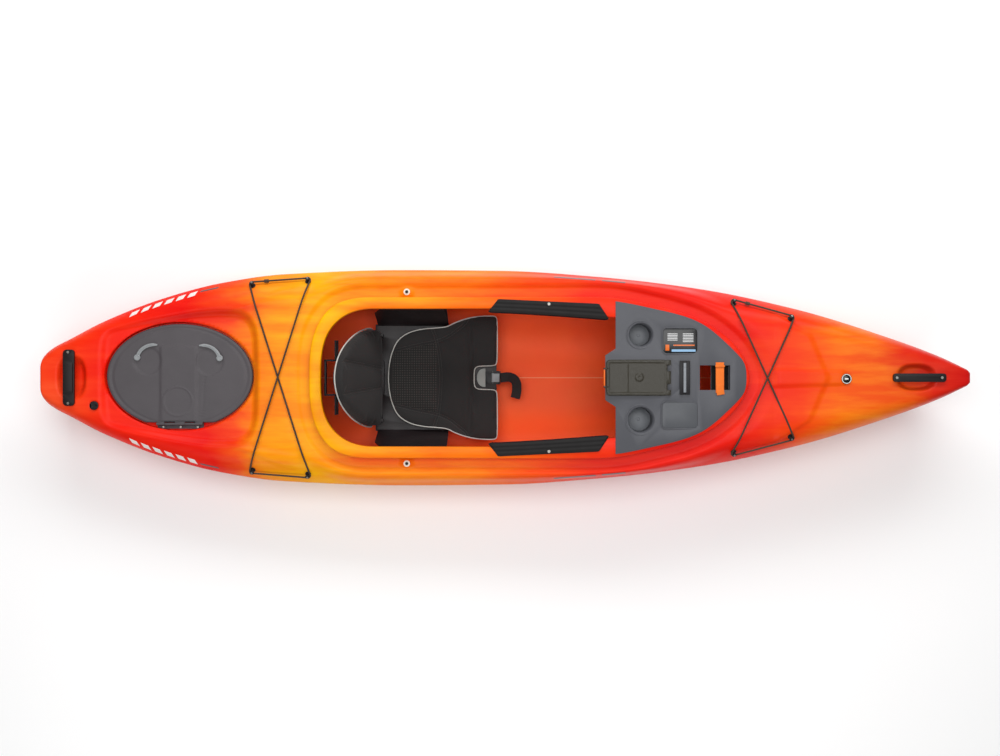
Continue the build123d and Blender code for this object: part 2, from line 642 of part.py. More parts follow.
def lifter():
    """Plate under the front of the seat that lifts the thighs."""
    outline = [(-210, 0), (-210, 178), (-150, 198), (-20, 214), (-20, 0)]
    shape = make_face(Polyline(*outline, *[(x, -y) for x, y in reversed(outline[1:-1])], close=True))
    plate = prism(shape, LIFTER_TOP - 4, LIFTER_TOP)
    for y0, y1 in ((-116, -40), (40, 116)):
        plate += across(LIFTER_X, y0, y1, LIFTER_Z, 5)
        plate += box(LIFTER_X, LIFTER_X + 12, y0, y1, LIFTER_TOP - 4, LIFTER_TOP)
    plate += box(-62, -6, -24, 24, LIFTER_TOP - 4, LIFTER_TOP)
    return plate - across(LIFTER_X, -BEAM / 2, BEAM / 2, LIFTER_Z, 2.5 + RUN_GAP)


def lifter_pins():
    return Compound([across(LIFTER_X, y0, y1, LIFTER_Z, 2.5) for y0, y1 in ((-152, -38), (38, 152))])


def cam_buckle():
    z = LIFTER_TOP
    buckle = box(-59, -10, -22, 22, z, z + 5)
    for y in (-19, 19):
        buckle += box(-50, -16, y - 2.5, y + 2.5, z, z + 16)
    return buckle - across(-34, -30, 30, z + 11, 2)


def cam_lever():
    z = LIFTER_TOP
    lever = across(-34, -16, 16, z + 11, 4) + box(-34, -10, -15, 15, z + 11, z + 15)
    lever += upright(-19, 0, z + 12, z + 18, 6)
    return lever - across(-34, -30, 30, z + 11, 2 + RUN_GAP)


def cam_pin():
    return across(-34, -22, 22, LIFTER_TOP + 11, 2)


def lift_strap():
    """Webbing: a folded tab behind the buckle and a loop with a tail in front of it."""
    z = LIFTER_TOP
    tab = box(-90, -60, -34, 34, z, z + 3)
    return tab


def lift_tail():
    z = LIFTER_TOP
    loop = extrude(Plane.XZ.offset(-19) * trace(
        Polyline((-9.5, z + 2.5), (14, z + 12), (38, z + 2), (54, z - 20)), line_width=1.8), 38)
    return loop


# Backrest, drawn upright at its pivot and then leaned back
LEANED = Pos(BACK_PIVOT_X, 0, BACK_PIVOT_Z) * Rot(0, -BACK_LEAN, 0)
BACK_PIN_Y = (138.0, 158.0)


def arched(half, height, low, corner):
    """Half-oval panel, across and up, cut off flat at its foot."""
    face = Ellipse(half, height) & Pos(0, low + height) * Rectangle(4 * half, 2 * height)
    return fillet(face.vertices().sort_by(Axis.Y)[:2], corner)


RIVET_UP, LOOP_UP, ARM_Y = 300.0, 323.0, 143.0


def back_frame():
    """Arched plate with a cross bar, a grab loop and two arms down to the pivots."""
    plate = extrude(Plane.YZ.offset(-8) * arched(BACK_HALF - 28, BACK_HEIGHT - 7, 12, 20), 4)
    plate += box(-8, -4, -126, 126, RIVET_UP - 12, RIVET_UP + 12)
    for y in (-ARM_Y, ARM_Y):
        plate += box(-8, 8, y - 3, y + 3, -9, 22) + box(-8, -4, y - 3, y + 3, 20, 60)
    plate -= extrude(Plane.YZ.offset(-12) * (Pos(0, 180) * RectangleRounded(150, 130, 30)), 12)
    for y in (-58, 58):
        plate += box(-12, -4, y - 3, y + 3, RIVET_UP, LOOP_UP + 5) + box(-38, -8, y - 3, y + 3, LOOP_UP - 5, LOOP_UP + 5)
    plate += box(-38, -32, -61, 61, LOOP_UP - 5, LOOP_UP + 5)
    for y in (-ARM_Y, ARM_Y):
        plate -= across(0, y - 8, y + 8, 0, 4 + RUN_GAP)
    return LEANED * plate


def back_pad():
    pad = extrude(Plane.YZ.offset(-4 + FIT_GAP) * arched(BACK_HALF, BACK_HEIGHT, 25, 24), 42)
    return LEANED * pad


def back_pins():
    pins = [across(BACK_PIVOT_X, side * 148 - 12, side * 148 + 12, BACK_PIVOT_Z, 4) for side in (-1, 1)]
    return Compound(pins)


def back_rivets():
    rivet = [Pos(-9.2, y, RIVET_UP) * Rot(0, 90, 0) * Cylinder(5, 2.4) for y in (-114, 114)]
    return LEANED * Compound(rivet)


# ---------------------------------------------------------------- dashboard

PORT_CUP = (CUP_X, 145.6, 46.0, 38.0)          # centre, rim radius, floor radius
STARBOARD_CUP = (CUP_X, -143.0, 50.0, 42.0)
TRAY_PORT = (603.0, 125.0, 116.0, 84.0)
TRAY_STARBOARD = (602.0, -127.0, 120.0, 88.0)
POCKET = (669.5, 772.0, 42.0)
TRACK = (618.0, 34.0, 115.0)
STRAP_X = (723.0, 751.0)
BOX_SEAL = 1.8
BOX_LID_Z = rim_z(BOX_FORE) + FIT_GAP + DASH_THICK + 1.2 + BOX_SEAL
BOX_HINGE_X = BOX_FORE + 6
BOX_HINGE_Z = BOX_LID_Z + 2
LATCH_X = BOX_AFT - 6
LATCH_Z = BOX_LID_Z + 1


def dashboard():
    plan = rim_plan(DASH_INSET) & (Pos(DASH_AFT + 500, 0) * Rectangle(1000, 1000))
    nose = [(BOX_AFT - 2, 76), (DASH_AFT, 99), (DASH_AFT + 20, 99)]
    nose = make_face(Polyline(*nose, *[(x, -y) for x, y in reversed(nose)], close=True))
    dash = on_rim(plan + nose, FIT_GAP, FIT_GAP + DASH_THICK)
    top = rim_z(CUP_X) + FIT_GAP + DASH_THICK
    for x, y, rim_r, floor_r in (PORT_CUP, STARBOARD_CUP):
        dash += upright(x, y, top - CUP_DEPTH - 3, top - 2, floor_r + 3)
    inside = box(BOX_AFT + 8, BOX_FORE - 8, -BOX_HALF + 8, BOX_HALF - 8, top - BOX_DEPTH, top + 20)
    outside = box(BOX_AFT + 4, BOX_FORE - 4, -BOX_HALF + 4, BOX_HALF - 4, top - BOX_DEPTH - 3, BOX_LID_Z - BOX_SEAL)
    dash = dash + outside - inside
    for y in (-1, 1):
        dash += box(BOX_HINGE_X - 3, BOX_HINGE_X + 3, y * 32 - 9, y * 32 + 9, rim_z(BOX_FORE) + 2, BOX_HINGE_Z)
        dash += across(BOX_HINGE_X, y * 32 - 9, y * 32 + 9, BOX_HINGE_Z, 3.5)
    dash -= across(BOX_HINGE_X, -BEAM / 2, BEAM / 2, BOX_HINGE_Z, 1.5)
    for x, y, rim_r, floor_r in (PORT_CUP, STARBOARD_CUP):
        dash -= upright(x, y, top - CUP_DEPTH, top + 20, floor_r)
        dash -= Pos(x, y, top) * Cone(floor_r, rim_r, 8)
    x0, x1, half = POCKET
    high = rim_z((x0 + x1) / 2)
    tub = box(x0 - 3, x1 + 3, -half - 3, half + 3, high - 30, high + 2) - box(x0, x1, -half, half, high - 27, high + 20)
    dash = dash + tub - box(x0, x1, -half, half, high - 27, high + 20)
    dash -= box(x0, x0 + 42, -half, half, high - 60, high)
    for x, y, length, width in (TRAY_PORT, TRAY_STARBOARD):
        dash -= Pos(x, y, rim_z(x) + FIT_GAP + DASH_THICK + 8) * extrude(
            RectangleRounded(length, width, 14), -10)
    x, length, width = TRACK
    for y in (-24, 24):
        dash -= upright(x, y, 200, 500, SCREW_R)
    return dash


def tray_plate(tray):
    x, y, length, width = tray
    z = rim_z(x) + FIT_GAP + DASH_THICK - 2
    return Pos(x, y, z) * extrude(RectangleRounded(length - 1, width - 1, 13.5), 2.4)


def box_seal():
    z = BOX_LID_Z - BOX_SEAL
    outer = box(BOX_AFT + 4, BOX_FORE - 4, -BOX_HALF + 4, BOX_HALF - 4, z, BOX_LID_Z)
    return outer - box(BOX_AFT + 8, BOX_FORE - 8, -BOX_HALF + 8, BOX_HALF - 8, z - 1, BOX_LID_Z + 1)


def box_lid():
    length = BOX_FORE - BOX_AFT
    middle = Pos((BOX_AFT + BOX_FORE) / 2, 0, BOX_LID_Z)
    lid = middle * extrude(RectangleRounded(length, 2 * BOX_HALF, 14), 3)
    lid += middle * extrude(RectangleRounded(length - 40, 2 * BOX_HALF - 36, 16), 6)
    for y0, y1 in ((-22, 22), (-60, -42), (42, 60)):
        lid += across(BOX_HINGE_X, y0, y1, BOX_HINGE_Z, 3.5)
        lid += box(BOX_FORE - 12, BOX_HINGE_X, y0, y1, BOX_LID_Z + 0.5, BOX_LID_Z + 3)
    for y in (-31, 31):
        lid += box(LATCH_X - 3, BOX_AFT + 12, y - 2.5, y + 2.5, BOX_LID_Z - 1, BOX_LID_Z + 3)
    lid -= box(BOX_AFT + 1, BOX_AFT + 15, -40, 40, BOX_LID_Z - 3, BOX_LID_Z)
    lid -= across(LATCH_X, -BOX_HALF, BOX_HALF, LATCH_Z, 1.2)
    return lid - across(BOX_HINGE_X, -BEAM / 2, BEAM / 2, BOX_HINGE_Z, 1.5 + RUN_GAP)


def box_latch():
    latch = across(LATCH_X, -27, 27, LATCH_Z, 2.6)
    latch += box(LATCH_X - 2.5, LATCH_X + 0.5, -27, 27, LATCH_Z - 15, LATCH_Z)
    return latch - across(LATCH_X, -BOX_HALF, BOX_HALF, LATCH_Z, 1.2 + RUN_GAP)


def accessory_track():
    x, width, length = TRACK
    z = rim_z(x + width / 2) + FIT_GAP + DASH_THICK
    track = box(x - width / 2, x + width / 2, -length / 2, length / 2, z, z + 7)
    track -= box(x - 5, x + 5, -length, length, z + 3, z + 10)
    track -= box(x - 10, x + 10, -length, length, z + 3, z + 5.5)
    for y in (-24, 24):
        track -= upright(x, y, 200, 500, SCREW_R)
    return track


def track_screws():
    x, width, length = TRACK
    seat = rim_z(x + width / 2) + FIT_GAP + DASH_THICK + 3
    return Compound([upright(x, y, seat - 11, seat, SCREW_R) + upright(x, y, seat, seat + 2, 4.2) for y in (-24, 24)])


def pocket_strap():
    x0, x1 = STRAP_X
    z = rim_z(x1) + FIT_GAP + DASH_THICK + FIT_GAP
    return box(x0, x1, -52, 52, z, z + 1.8) + box(x0 + 2, x1 - 2, -50, -22, z + 1.8, z + 4)


# ---------------------------------------------------------------- foot braces

PEDAL_LENGTH = 60.0
RAIL_HEIGHT = 24.0
RAIL_HALF_THICK = 4.0


def at_rail(shape):
    x, y, z = RAIL_MIDDLE
    return Pos(x, y, z) * Rot(0, 0, -RAIL_TOE_IN) * shape


def rail():
    bar = box(-RAIL_LENGTH / 2, RAIL_LENGTH / 2, -RAIL_HALF_THICK, RAIL_HALF_THICK, -RAIL_HEIGHT / 2, RAIL_HEIGHT / 2)
    bar -= box(-RAIL_LENGTH / 2 + 30, RAIL_LENGTH / 2 - 30, -RAIL_HALF_THICK - 1, 0, -3, 3)
    return at_rail(bar - rail_holes())


def rail_holes():
    return across(RAIL_SCREW_X, -60, 60, 0, SCREW_R) + across(-RAIL_SCREW_X, -60, 60, 0, SCREW_R)


RAIL_SCREW_X = RAIL_LENGTH / 2 - 16


def rail_pads():
    pads = []
    for x in (-RAIL_SCREW_X, RAIL_SCREW_X):
        block = box(x - 15, x + 15, RAIL_HALF_THICK, 90, -15, 15) - across(x, -60, 60, 0, SCREW_R)
        block = at_rail(block) & hull_body(WALL)
        pads.append(max(block.solids(), key=lambda piece: piece.volume))
    return Compound(pads)


def rail_screws():
    seat = -RAIL_HALF_THICK
    made = [at_rail(across(x, seat, seat + 20, 0, SCREW_R) + across(x, seat - 2, seat, 0, 4))
            for x in (-RAIL_SCREW_X, RAIL_SCREW_X)]
    return Compound(made)


def pedal():
    near = -RAIL_HALF_THICK - FIT_GAP
    carriage = box(-PEDAL_LENGTH / 2, PEDAL_LENGTH / 2, near - 8, near, -16, 16)
    plate = extrude(Plane.YZ.offset(-4) * (Pos(near - 40, 8) * RectangleRounded(74, 120, 16)), 6)
    ribs = box(-2, PEDAL_LENGTH / 2, near - 40, near - 7, -2, 2)
    body = carriage + plate + ribs
    return at_rail(body - upright(TRIGGER_X, TRIGGER_Y, -40, -10, 1.5 + RUN_GAP))


TRIGGER_X = 14.0
TRIGGER_Y = -RAIL_HALF_THICK - FIT_GAP - 4


def pedal_trigger():
    lever = box(TRIGGER_X - 5, TRIGGER_X + 5, TRIGGER_Y - 50, TRIGGER_Y + 3, -22, -16.2)
    lever += upright(TRIGGER_X, TRIGGER_Y, -16.5, -11, 1.5)
    return at_rail(lever)


# ---------------------------------------------------------------- the nodes

NODES = {
    "hull_shell": hull_shell,
    "stern_bulkhead": stern_bulkhead,
    "bow_pillar": bow_pillar,
    "bow_handle": bow_handle,
    "stern_handle": stern_handle,
    "handle_screws": lambda: screw_set([(x, y, -9, 12) for x, y in HANDLE_SCREWS], HANDLE_THICK + FIT_GAP),
    "deck_fittings": lambda: Compound([bollard(x, y) for x, y in POSTS]),
    "fitting_screws": lambda: screw_set([(x, y, -9, 12) for x, y in POSTS], POST_CAP + 3, 3.6),
    "bow_bungee": lambda: bungee(BOW_POSTS),
    "stern_bungee": lambda: bungee(STERN_POSTS),
    "thigh_pad_port": thigh_pad,
    "thigh_pad_starboard": lambda: mirror(thigh_pad(), about=Plane.XZ),
    "thigh_pad_screws": lambda: Compound([thigh_screw(), mirror(thigh_screw(), about=Plane.XZ)]),
    "hatch_seal": lambda: prism(hatch_plan(WALL - HATCH_COVER), HATCH_RIM_TOP, LID_UNDER) - prism(
        hatch_plan(-HATCH_COVER), 200, 400),
    "hatch_lid": hatch_lid,
    "hatch_hinge_base": hinge_base,
    "hatch_hinge_pin": lambda: along(HATCH_X - HINGE_LENGTH / 2, HATCH_X + HINGE_LENGTH / 2, HINGE_Y, HINGE_Z,
                                     HINGE_PIN_R),
    "hatch_hinge_screws": hinge_screws,
    "hatch_latch_aft": lambda: latch(LATCHES[0]),
    "hatch_latch_fore": lambda: latch(LATCHES[1]),
    "drain_seal": drain_seal,
    "drain_plug": drain_plug,
    "seat_pan": seat_pan,
    "seat_blocks": keel_blocks,
    "seat_bolts": seat_bolts,
    "seat_washers": seat_washers,
    "seat_nuts": seat_nuts,
    "seat_cushion_rear": cushion_rear,
    "seat_cushion_front": cushion_front,
    "leg_lifter": lifter,
    "lifter_pins": lifter_pins,
    "cam_buckle": cam_buckle,
    "cam_lever": cam_lever,
    "cam_pin": cam_pin,
    "lift_strap": lift_strap,
    "lift_tail": lift_tail,
    "back_frame": back_frame,
    "back_pad": back_pad,
    "back_pins": back_pins,
    "back_rivets": back_rivets,
    "dashboard": dashboard,
    "tray_plate_port": lambda: tray_plate(TRAY_PORT),
    "tray_plate_starboard": lambda: tray_plate(TRAY_STARBOARD),
    "box_seal": box_seal,
    "box_lid": box_lid,
    "box_hinge_pin": lambda: across(BOX_HINGE_X, -60, 60, BOX_HINGE_Z, 1.5),
    "box_latch": box_latch,
    "box_latch_pin": lambda: across(LATCH_X, -33.5, 33.5, LATCH_Z, 1.2),
    "accessory_track": accessory_track,
    "track_screws": track_screws,
    "pocket_strap": pocket_strap,
    "brace_rail_port": rail,
    "brace_rail_starboard": lambda: mirror(rail(), about=Plane.XZ),
    "brace_pads": lambda: Compound([rail_pads(), mirror(rail_pads(), about=Plane.XZ)]),
    "brace_screws": lambda: Compound([rail_screws(), mirror(rail_screws(), about=Plane.XZ)]),
    "pedal_port": pedal,
    "pedal_starboard": lambda: mirror(pedal(), about=Plane.XZ),
    "pedal_trigger_port": pedal_trigger,
    "pedal_trigger_starboard": lambda: mirror(pedal_trigger(), about=Plane.XZ),
}

os.makedirs("parts", exist_ok=True)
for name, make in NODES.items():
    export_step(make(), f"parts/{name}.step")
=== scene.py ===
"""Looks of a recreational sit-inside kayak, in metres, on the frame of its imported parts.

+X is towards the bow, +Y to port, +Z up. Shapes are worked out in millimetres and turned to metres as each
mesh is made.
"""

import math

import bmesh
import bpy
import numpy as np
from mathutils import Matrix, Vector
from mathutils.bvhtree import BVHTree


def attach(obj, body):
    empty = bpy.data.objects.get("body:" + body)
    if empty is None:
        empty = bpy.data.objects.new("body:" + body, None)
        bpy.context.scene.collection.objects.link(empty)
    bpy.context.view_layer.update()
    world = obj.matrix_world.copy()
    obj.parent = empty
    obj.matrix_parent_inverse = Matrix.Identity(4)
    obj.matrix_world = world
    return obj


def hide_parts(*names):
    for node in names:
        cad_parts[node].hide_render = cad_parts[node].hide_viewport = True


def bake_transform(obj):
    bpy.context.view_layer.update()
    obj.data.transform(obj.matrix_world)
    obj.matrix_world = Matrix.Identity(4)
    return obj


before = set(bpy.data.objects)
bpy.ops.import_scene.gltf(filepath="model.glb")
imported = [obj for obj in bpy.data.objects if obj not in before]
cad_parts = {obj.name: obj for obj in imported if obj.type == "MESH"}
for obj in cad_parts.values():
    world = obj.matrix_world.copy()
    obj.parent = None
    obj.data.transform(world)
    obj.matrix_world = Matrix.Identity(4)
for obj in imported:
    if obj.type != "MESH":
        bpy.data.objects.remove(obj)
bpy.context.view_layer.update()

MM = 0.001

# ---------------------------------------------------------------- lines of the hull, in millimetres

LENGTH, BEAM, WALL = 3200.0, 752.0, 5.0
SHOULDER = 8.0
HALF_BREADTH = [(-1.0, 0.16), (-0.992, 0.215), (-0.975, 0.275), (-0.94, 0.355), (-0.866, 0.52),
                (-0.738, 0.735), (-0.61, 0.88), (-0.478, 0.96), (-0.22, 1.0), (0.0, 0.992),
                (0.21, 0.934), (0.425, 0.822), (0.64, 0.625), (0.8125, 0.396), (0.944, 0.186),
                (1.0, 0.07)]
SEAM_HEIGHT = [(-1.0, 236.0), (-0.69, 222.0), (-0.25, 212.0), (0.19, 222.0), (0.56, 248.0), (1.0, 288.0)]
KEEL_HEIGHT = [(-1.0, 96.0), (-0.94, 38.0), (-0.86, 8.0), (-0.76, 0.0), (0.56, 0.0), (0.72, 8.0),
               (0.86, 45.0), (0.95, 104.0), (1.0, 160.0)]
CROWN_HEIGHT = [(-1.0, 262.0), (-0.85, 273.0), (-0.53, 284.0), (-0.375, 291.0), (0.0, 306.0),
                (0.2, 322.0), (0.36, 330.0), (0.52, 332.0), (0.75, 334.0), (0.94, 330.0), (1.0, 318.0)]
RIM_HEIGHT = [(-0.5, 307.0), (-0.2, 308.0), (0.0, 317.0), (0.24, 338.0), (0.4, 347.0), (0.6, 351.0)]

HATCH_X, HATCH_Y = -LENGTH / 2 + 484, 5.0
HATCH_A, HATCH_B = 253.0, 181.0
HATCH_FLOOR, LID_UNDER, LID_TOP = 240.0, 255.0, 258.5
CHANNEL_DEPTH, BASIN_FLOOR, SCOOP_DEPTH = 33.0, 259.0, 27.0


def curve(table, station):
    """Shape-preserving cubic through a table of (station, value), for an array of stations."""
    xs, ys = np.array(table, float).T
    h, d = np.diff(xs), np.diff(ys) / np.diff(xs)
    m = np.zeros(len(xs))
    m[0], m[-1] = d[0], d[-1]
    for i in range(1, len(xs) - 1):
        if d[i - 1] * d[i] > 0:
            w1, w2 = 2 * h[i] + h[i - 1], h[i] + 2 * h[i - 1]
            m[i] = (w1 + w2) / (w1 / d[i - 1] + w2 / d[i])
    t = np.clip(np.asarray(station, float), xs[0], xs[-1])
    i = np.clip(np.searchsorted(xs, t, side="right") - 1, 0, len(h) - 1)
    s = (t - xs[i]) / h[i]
    start = (1 + 2 * s) * (1 - s) ** 2 * ys[i] + s * (1 - s) ** 2 * h[i] * m[i]
    return start + s * s * (3 - 2 * s) * ys[i + 1] + s * s * (s - 1) * h[i] * m[i + 1]


def rise(a, b, x):
    """Smooth step from 0 at a to 1 at b."""
    t = np.clip((x - a) / (b - a), 0, 1)
    return t * t * (3 - 2 * t)


def end_round(x):
    """How far the ends are drawn in where they round off."""
    t = np.clip((np.abs(x) - (LENGTH / 2 - 9)) / 9, 0, 1)
    return 9 * (1 - np.sqrt(1 - t * t))


def half_breadth(x):
    return curve(HALF_BREADTH, 2 * x / LENGTH) * BEAM / 2 - end_round(x)


def seam_z(x):
    return curve(SEAM_HEIGHT, 2 * x / LENGTH)


def rim_z(x):
    return curve(RIM_HEIGHT, 2 * np.asarray(x, float) / LENGTH)


def plain_deck(x, y):
    u = np.clip(np.abs(y) / np.maximum(half_breadth(x), 1), 0, 1)
    crown = curve(CROWN_HEIGHT, 2 * x / LENGTH) - end_round(x)
    return seam_z(x) + (crown - seam_z(x)) * (1 - u ** SHOULDER)


def bottom(x, u):
    keel, seam = curve(KEEL_HEIGHT, 2 * x / LENGTH) + end_round(x), seam_z(x)
    vee = rise(0.45, 0.95, np.abs(2 * x / LENGTH))
    flat = (np.maximum(0, u - 0.5) / 0.5) ** 3
    sharp = 0.25 * u + 0.75 * u ** 2.2
    groove = 3.5 * (1 - np.cos(2 * math.pi * np.minimum(u, 0.62) / 0.62)) * (1 - vee)
    return keel + (seam - keel) * ((1 - vee) * flat + vee * sharp) + groove


# ---------------------------------------------------------------- outlines


def spline(points, first, last, count):
    """Smooth curve through points with the given end directions."""
    p = np.array(points, float)
    t = np.concatenate([[0], np.cumsum(np.linalg.norm(np.diff(p, axis=0), axis=1))])
    h = np.diff(t)
    n = len(p)
    a, rhs = np.zeros((n, n)), np.zeros((n, 2))
    a[0, 0] = a[-1, -1] = 1
    rhs[0], rhs[-1] = first, last
    for i in range(1, n - 1):
        a[i, i - 1], a[i, i], a[i, i + 1] = h[i], 2 * (h[i - 1] + h[i]), h[i - 1]
        rhs[i] = 3 * (h[i] * (p[i] - p[i - 1]) / h[i - 1] + h[i - 1] * (p[i + 1] - p[i]) / h[i])
    m = np.linalg.solve(a, rhs)
    q = np.linspace(0, t[-1], count)
    i = np.clip(np.searchsorted(t, q, side="right") - 1, 0, n - 2)
    s = ((q - t[i]) / h[i])[:, None]
    hh = h[i][:, None]
    return ((1 + 2 * s) * (1 - s) ** 2 * p[i] + s * (1 - s) ** 2 * hh * m[i]
            + s * s * (3 - 2 * s) * p[i + 1] + s * s * (s - 1) * hh * m[i + 1])


def port_and_starboard(half):
    """Closed loop from its port half, which runs from the aft centre to the fore centre."""
    other = half[1:-1][::-1] * (1, -1)
    return np.vstack([half, other])


def cockpit_loop(grow=0.0):
    """Inner edge of the coaming."""
    a, f, w = -622.0 - grow, 797.0 + grow, 236.0 + grow
    aft = spline([(a, 0), (a + 24, w - 86), (a + 82, w - 24), (a + 182, w)], (0, 1), (1, 0), 50)
    side = np.linspace((a + 182, w), (-30, w), 50)[1:-1]
    front = spline([(-30, w), (200, w - 14), (f - 409, w - 32), (f - 288, w - 44), (f - 157, w - 74),
                    (f - 62, w - 128), (f, 0)], (1, 0), (0, -1), 110)
    return port_and_starboard(np.vstack([aft, side, front]))


def rim_loop(inset=0.0):
    """Outer edge of the coaming, point for point beside cockpit_loop."""
    a, f, w = -662.0 + inset, 839.0 - inset, 276.0 - inset
    aft = spline([(a, 0), (a + 22, w - 111), (a + 82, w - 31), (a + 212, w)], (0, 1), (1, 0), 50)
    side = np.linspace((a + 212, w), (0, w), 50)[1:-1]
    front = spline([(0, w), (250, w), (388, w - 5), (509, w - 29), (681, w - 84), (f - 72, w - 143),
                    (f - 20, 68), (f, 0)], (1, 0), (0, -1), 110)
    return port_and_starboard(np.vstack([aft, side, front]))


def ellipse_loop(grow=0.0, count=160):
    t = np.linspace(0, 2 * math.pi, count, endpoint=False)
    return np.stack([HATCH_X + (HATCH_A + grow) * np.cos(t), HATCH_Y + (HATCH_B + grow) * np.sin(t)], 1)


def circle_loop(x, y, r, count=24):
    t = np.linspace(0, 2 * math.pi, count, endpoint=False)
    return np.stack([x + r * np.cos(t), y + r * np.sin(t)], 1)


def nearest(loop, x, y):
    """Signed distance to a closed loop, negative inside, and the nearest point on it."""
    p = np.stack([np.ravel(x), np.ravel(y)], 1)
    a, b = loop, np.roll(loop, -1, axis=0)
    ab = b - a
    dist, near = np.empty(len(p)), np.empty((len(p), 2))
    for k in range(0, len(p), 4000):
        q = p[k:k + 4000, None, :]
        t = np.clip(((q - a) * ab).sum(2) / (ab * ab).sum(1), 0, 1)
        foot = a + t[..., None] * ab
        d = np.linalg.norm(q - foot, axis=2)
        j = d.argmin(1)
        dist[k:k + 4000], near[k:k + 4000] = d[np.arange(len(j)), j], foot[np.arange(len(j)), j]
    inside = np.zeros(len(p), bool)
    for (x0, y0), (x1, y1) in zip(a, b):
        if y0 != y1:
            crosses = (y0 > p[:, 1]) != (y1 > p[:, 1])
            inside ^= crosses & (p[:, 0] < (x1 - x0) * (p[:, 1] - y0) / (y1 - y0) + x0)
    return np.where(inside, -dist, dist).reshape(np.shape(x)), near


RIM = rim_loop()
COCKPIT = cockpit_loop()
HALF_BASIN = [(-1394, 0), (-1391, 120), (-1376, 166), (-1320, 190), (-1120, 226), (-940, 240), (-880, 226),
              (-846, 180), (-836, 110), (-834, 0)]
BASIN = port_and_starboard(spline(HALF_BASIN, (0, 1), (0, -1), 120))
BOW_SCOOP = (LENGTH / 2 - 190, 0.0, 70.0, 50.0)
STERN_SCOOP = (-LENGTH / 2 + 112, 0.0, 54.0, 80.0)
PLUG = (-LENGTH / 2 + 192, -96.0)
SEAT_BOLT = (-328.0, 295.0)


def patch(x, y, corners, height, soft):
    """Raised facet inside a convex outline, with softened edges."""
    c = np.array(corners, float)
    depth = np.full(np.shape(x), 1e9)
    for (x0, y0), (x1, y1) in zip(c, np.roll(c, -1, axis=0)):
        n = np.hypot(x1 - x0, y1 - y0)
        depth = np.minimum(depth, ((x1 - x0) * (y - y0) - (y1 - y0) * (x - x0)) / n)
    return height * rise(0, soft, depth)


def channel_floor(x):
    return rim_z(x) - CHANNEL_DEPTH


def deck(x, y):
    """Outer height of the moulded deck with its channel, basin, scoops and facets."""
    z = plain = plain_deck(x, y)
    # foredeck: spine and arrow-shaped step
    ay = np.abs(y)
    z = z + patch(x, y, [(900, -34), (1165, -27), (1165, 27), (900, 34)], 4.5, 9)
    z = z + patch(x, ay, [(930, -60), (1166, -60), (1150, 84), (1052, 150), (1010, 250), (930, 300)], 4.5, 12)
    # spear-shaped steps beside the hatch
    z = z + patch(x, ay, [(-1000, 214), (-700, 262), (-700, 322), (-760, 312)], 3.0, 12)
    # channel round the coaming and the ridge outside it
    near_rim = (x > -790) & (x < 960)
    d = np.full(np.shape(z), 500.0)
    d[near_rim] = nearest(RIM, x[near_rim], y[near_rim])[0]
    floor = channel_floor(x)
    trough = floor + 8 * rise(30, 52, d)
    keep = 1 - rise(54, 100, d)
    z = z * (1 - keep) + trough * keep
    # bosses under the seat bolts
    for side in (1, -1):
        r = np.hypot(x - SEAT_BOLT[0], y - side * SEAT_BOLT[1])
        z = z + (plain - z) * (1 - rise(12, 26, r))
    # basin of the stern hatch
    near_hatch = (x > -1450) & (x < -780)
    d = np.full(np.shape(z), 500.0)
    d[near_hatch] = nearest(BASIN, x[near_hatch], y[near_hatch])[0]
    z = z + (np.minimum(z, BASIN_FLOOR) - z) * rise(0, 30, -d)
    # finger scoops
    for cx, cy, a, b in (BOW_SCOOP, STERN_SCOOP):
        r = (np.abs((x - cx) / a) ** 2.6 + np.abs((y - cy) / b) ** 2.6) ** (1 / 2.6)
        z = z - SCOOP_DEPTH * (1 - rise(0.62, 1.0, r))
    r = np.hypot(x - PLUG[0], y - PLUG[1])
    z = z - 2.5 * (1 - rise(15, 18, r))
    away = 1 - rise(0.93, 0.995, np.abs(y) / np.maximum(half_breadth(x), 1))
    return plain + (z - plain) * away


# ---------------------------------------------------------------- mesh helpers


def piece(name, verts, faces, material, body, smooth=True, stands_for=(), groups=None):
    """Mesh object from millimetre points; groups gives each face its material number."""
    mesh = bpy.data.meshes.new(name)
    points = [tuple(v) for v in np.asarray(verts, float) * MM]
    mesh.from_pydata(points, [], [tuple(int(i) for i in f) for f in faces])
    for m in material if isinstance(material, (list, tuple)) else [material]:
        mesh.materials.append(m)
    if groups is not None:
        mesh.polygons.foreach_set("material_index", np.asarray(groups, np.int32))
    return finish(name, mesh, body, smooth, stands_for)


def finish(name, mesh, body, smooth=True, stands_for=()):
    """Clean the mesh, face it outward and hang it on its body."""
    bm = bmesh.new()
    bm.from_mesh(mesh)
    bmesh.ops.remove_doubles(bm, verts=bm.verts, dist=1e-6)
    bmesh.ops.recalc_face_normals(bm, faces=bm.faces)
    bm.to_mesh(mesh)
    bm.free()
    mesh.polygons.foreach_set("use_smooth", [smooth] * len(mesh.polygons))
    mesh.update()
    obj = bpy.data.objects.new(name, mesh)
    bpy.context.scene.collection.objects.link(obj)
    if body:
        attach(obj, body)
    if stands_for:
        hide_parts(*stands_for)
    return obj


def sharpen(obj, degrees=35):
    """Hard edges where faces meet at more than the angle."""
    mesh = obj.data
    bm = bmesh.new()
    bm.from_mesh(mesh)
    limit = math.radians(degrees)
    for e in bm.edges:
        e.smooth = not (len(e.link_faces) == 2 and e.calc_face_angle(0) > limit)
    bm.to_mesh(mesh)
    bm.free()
    return obj


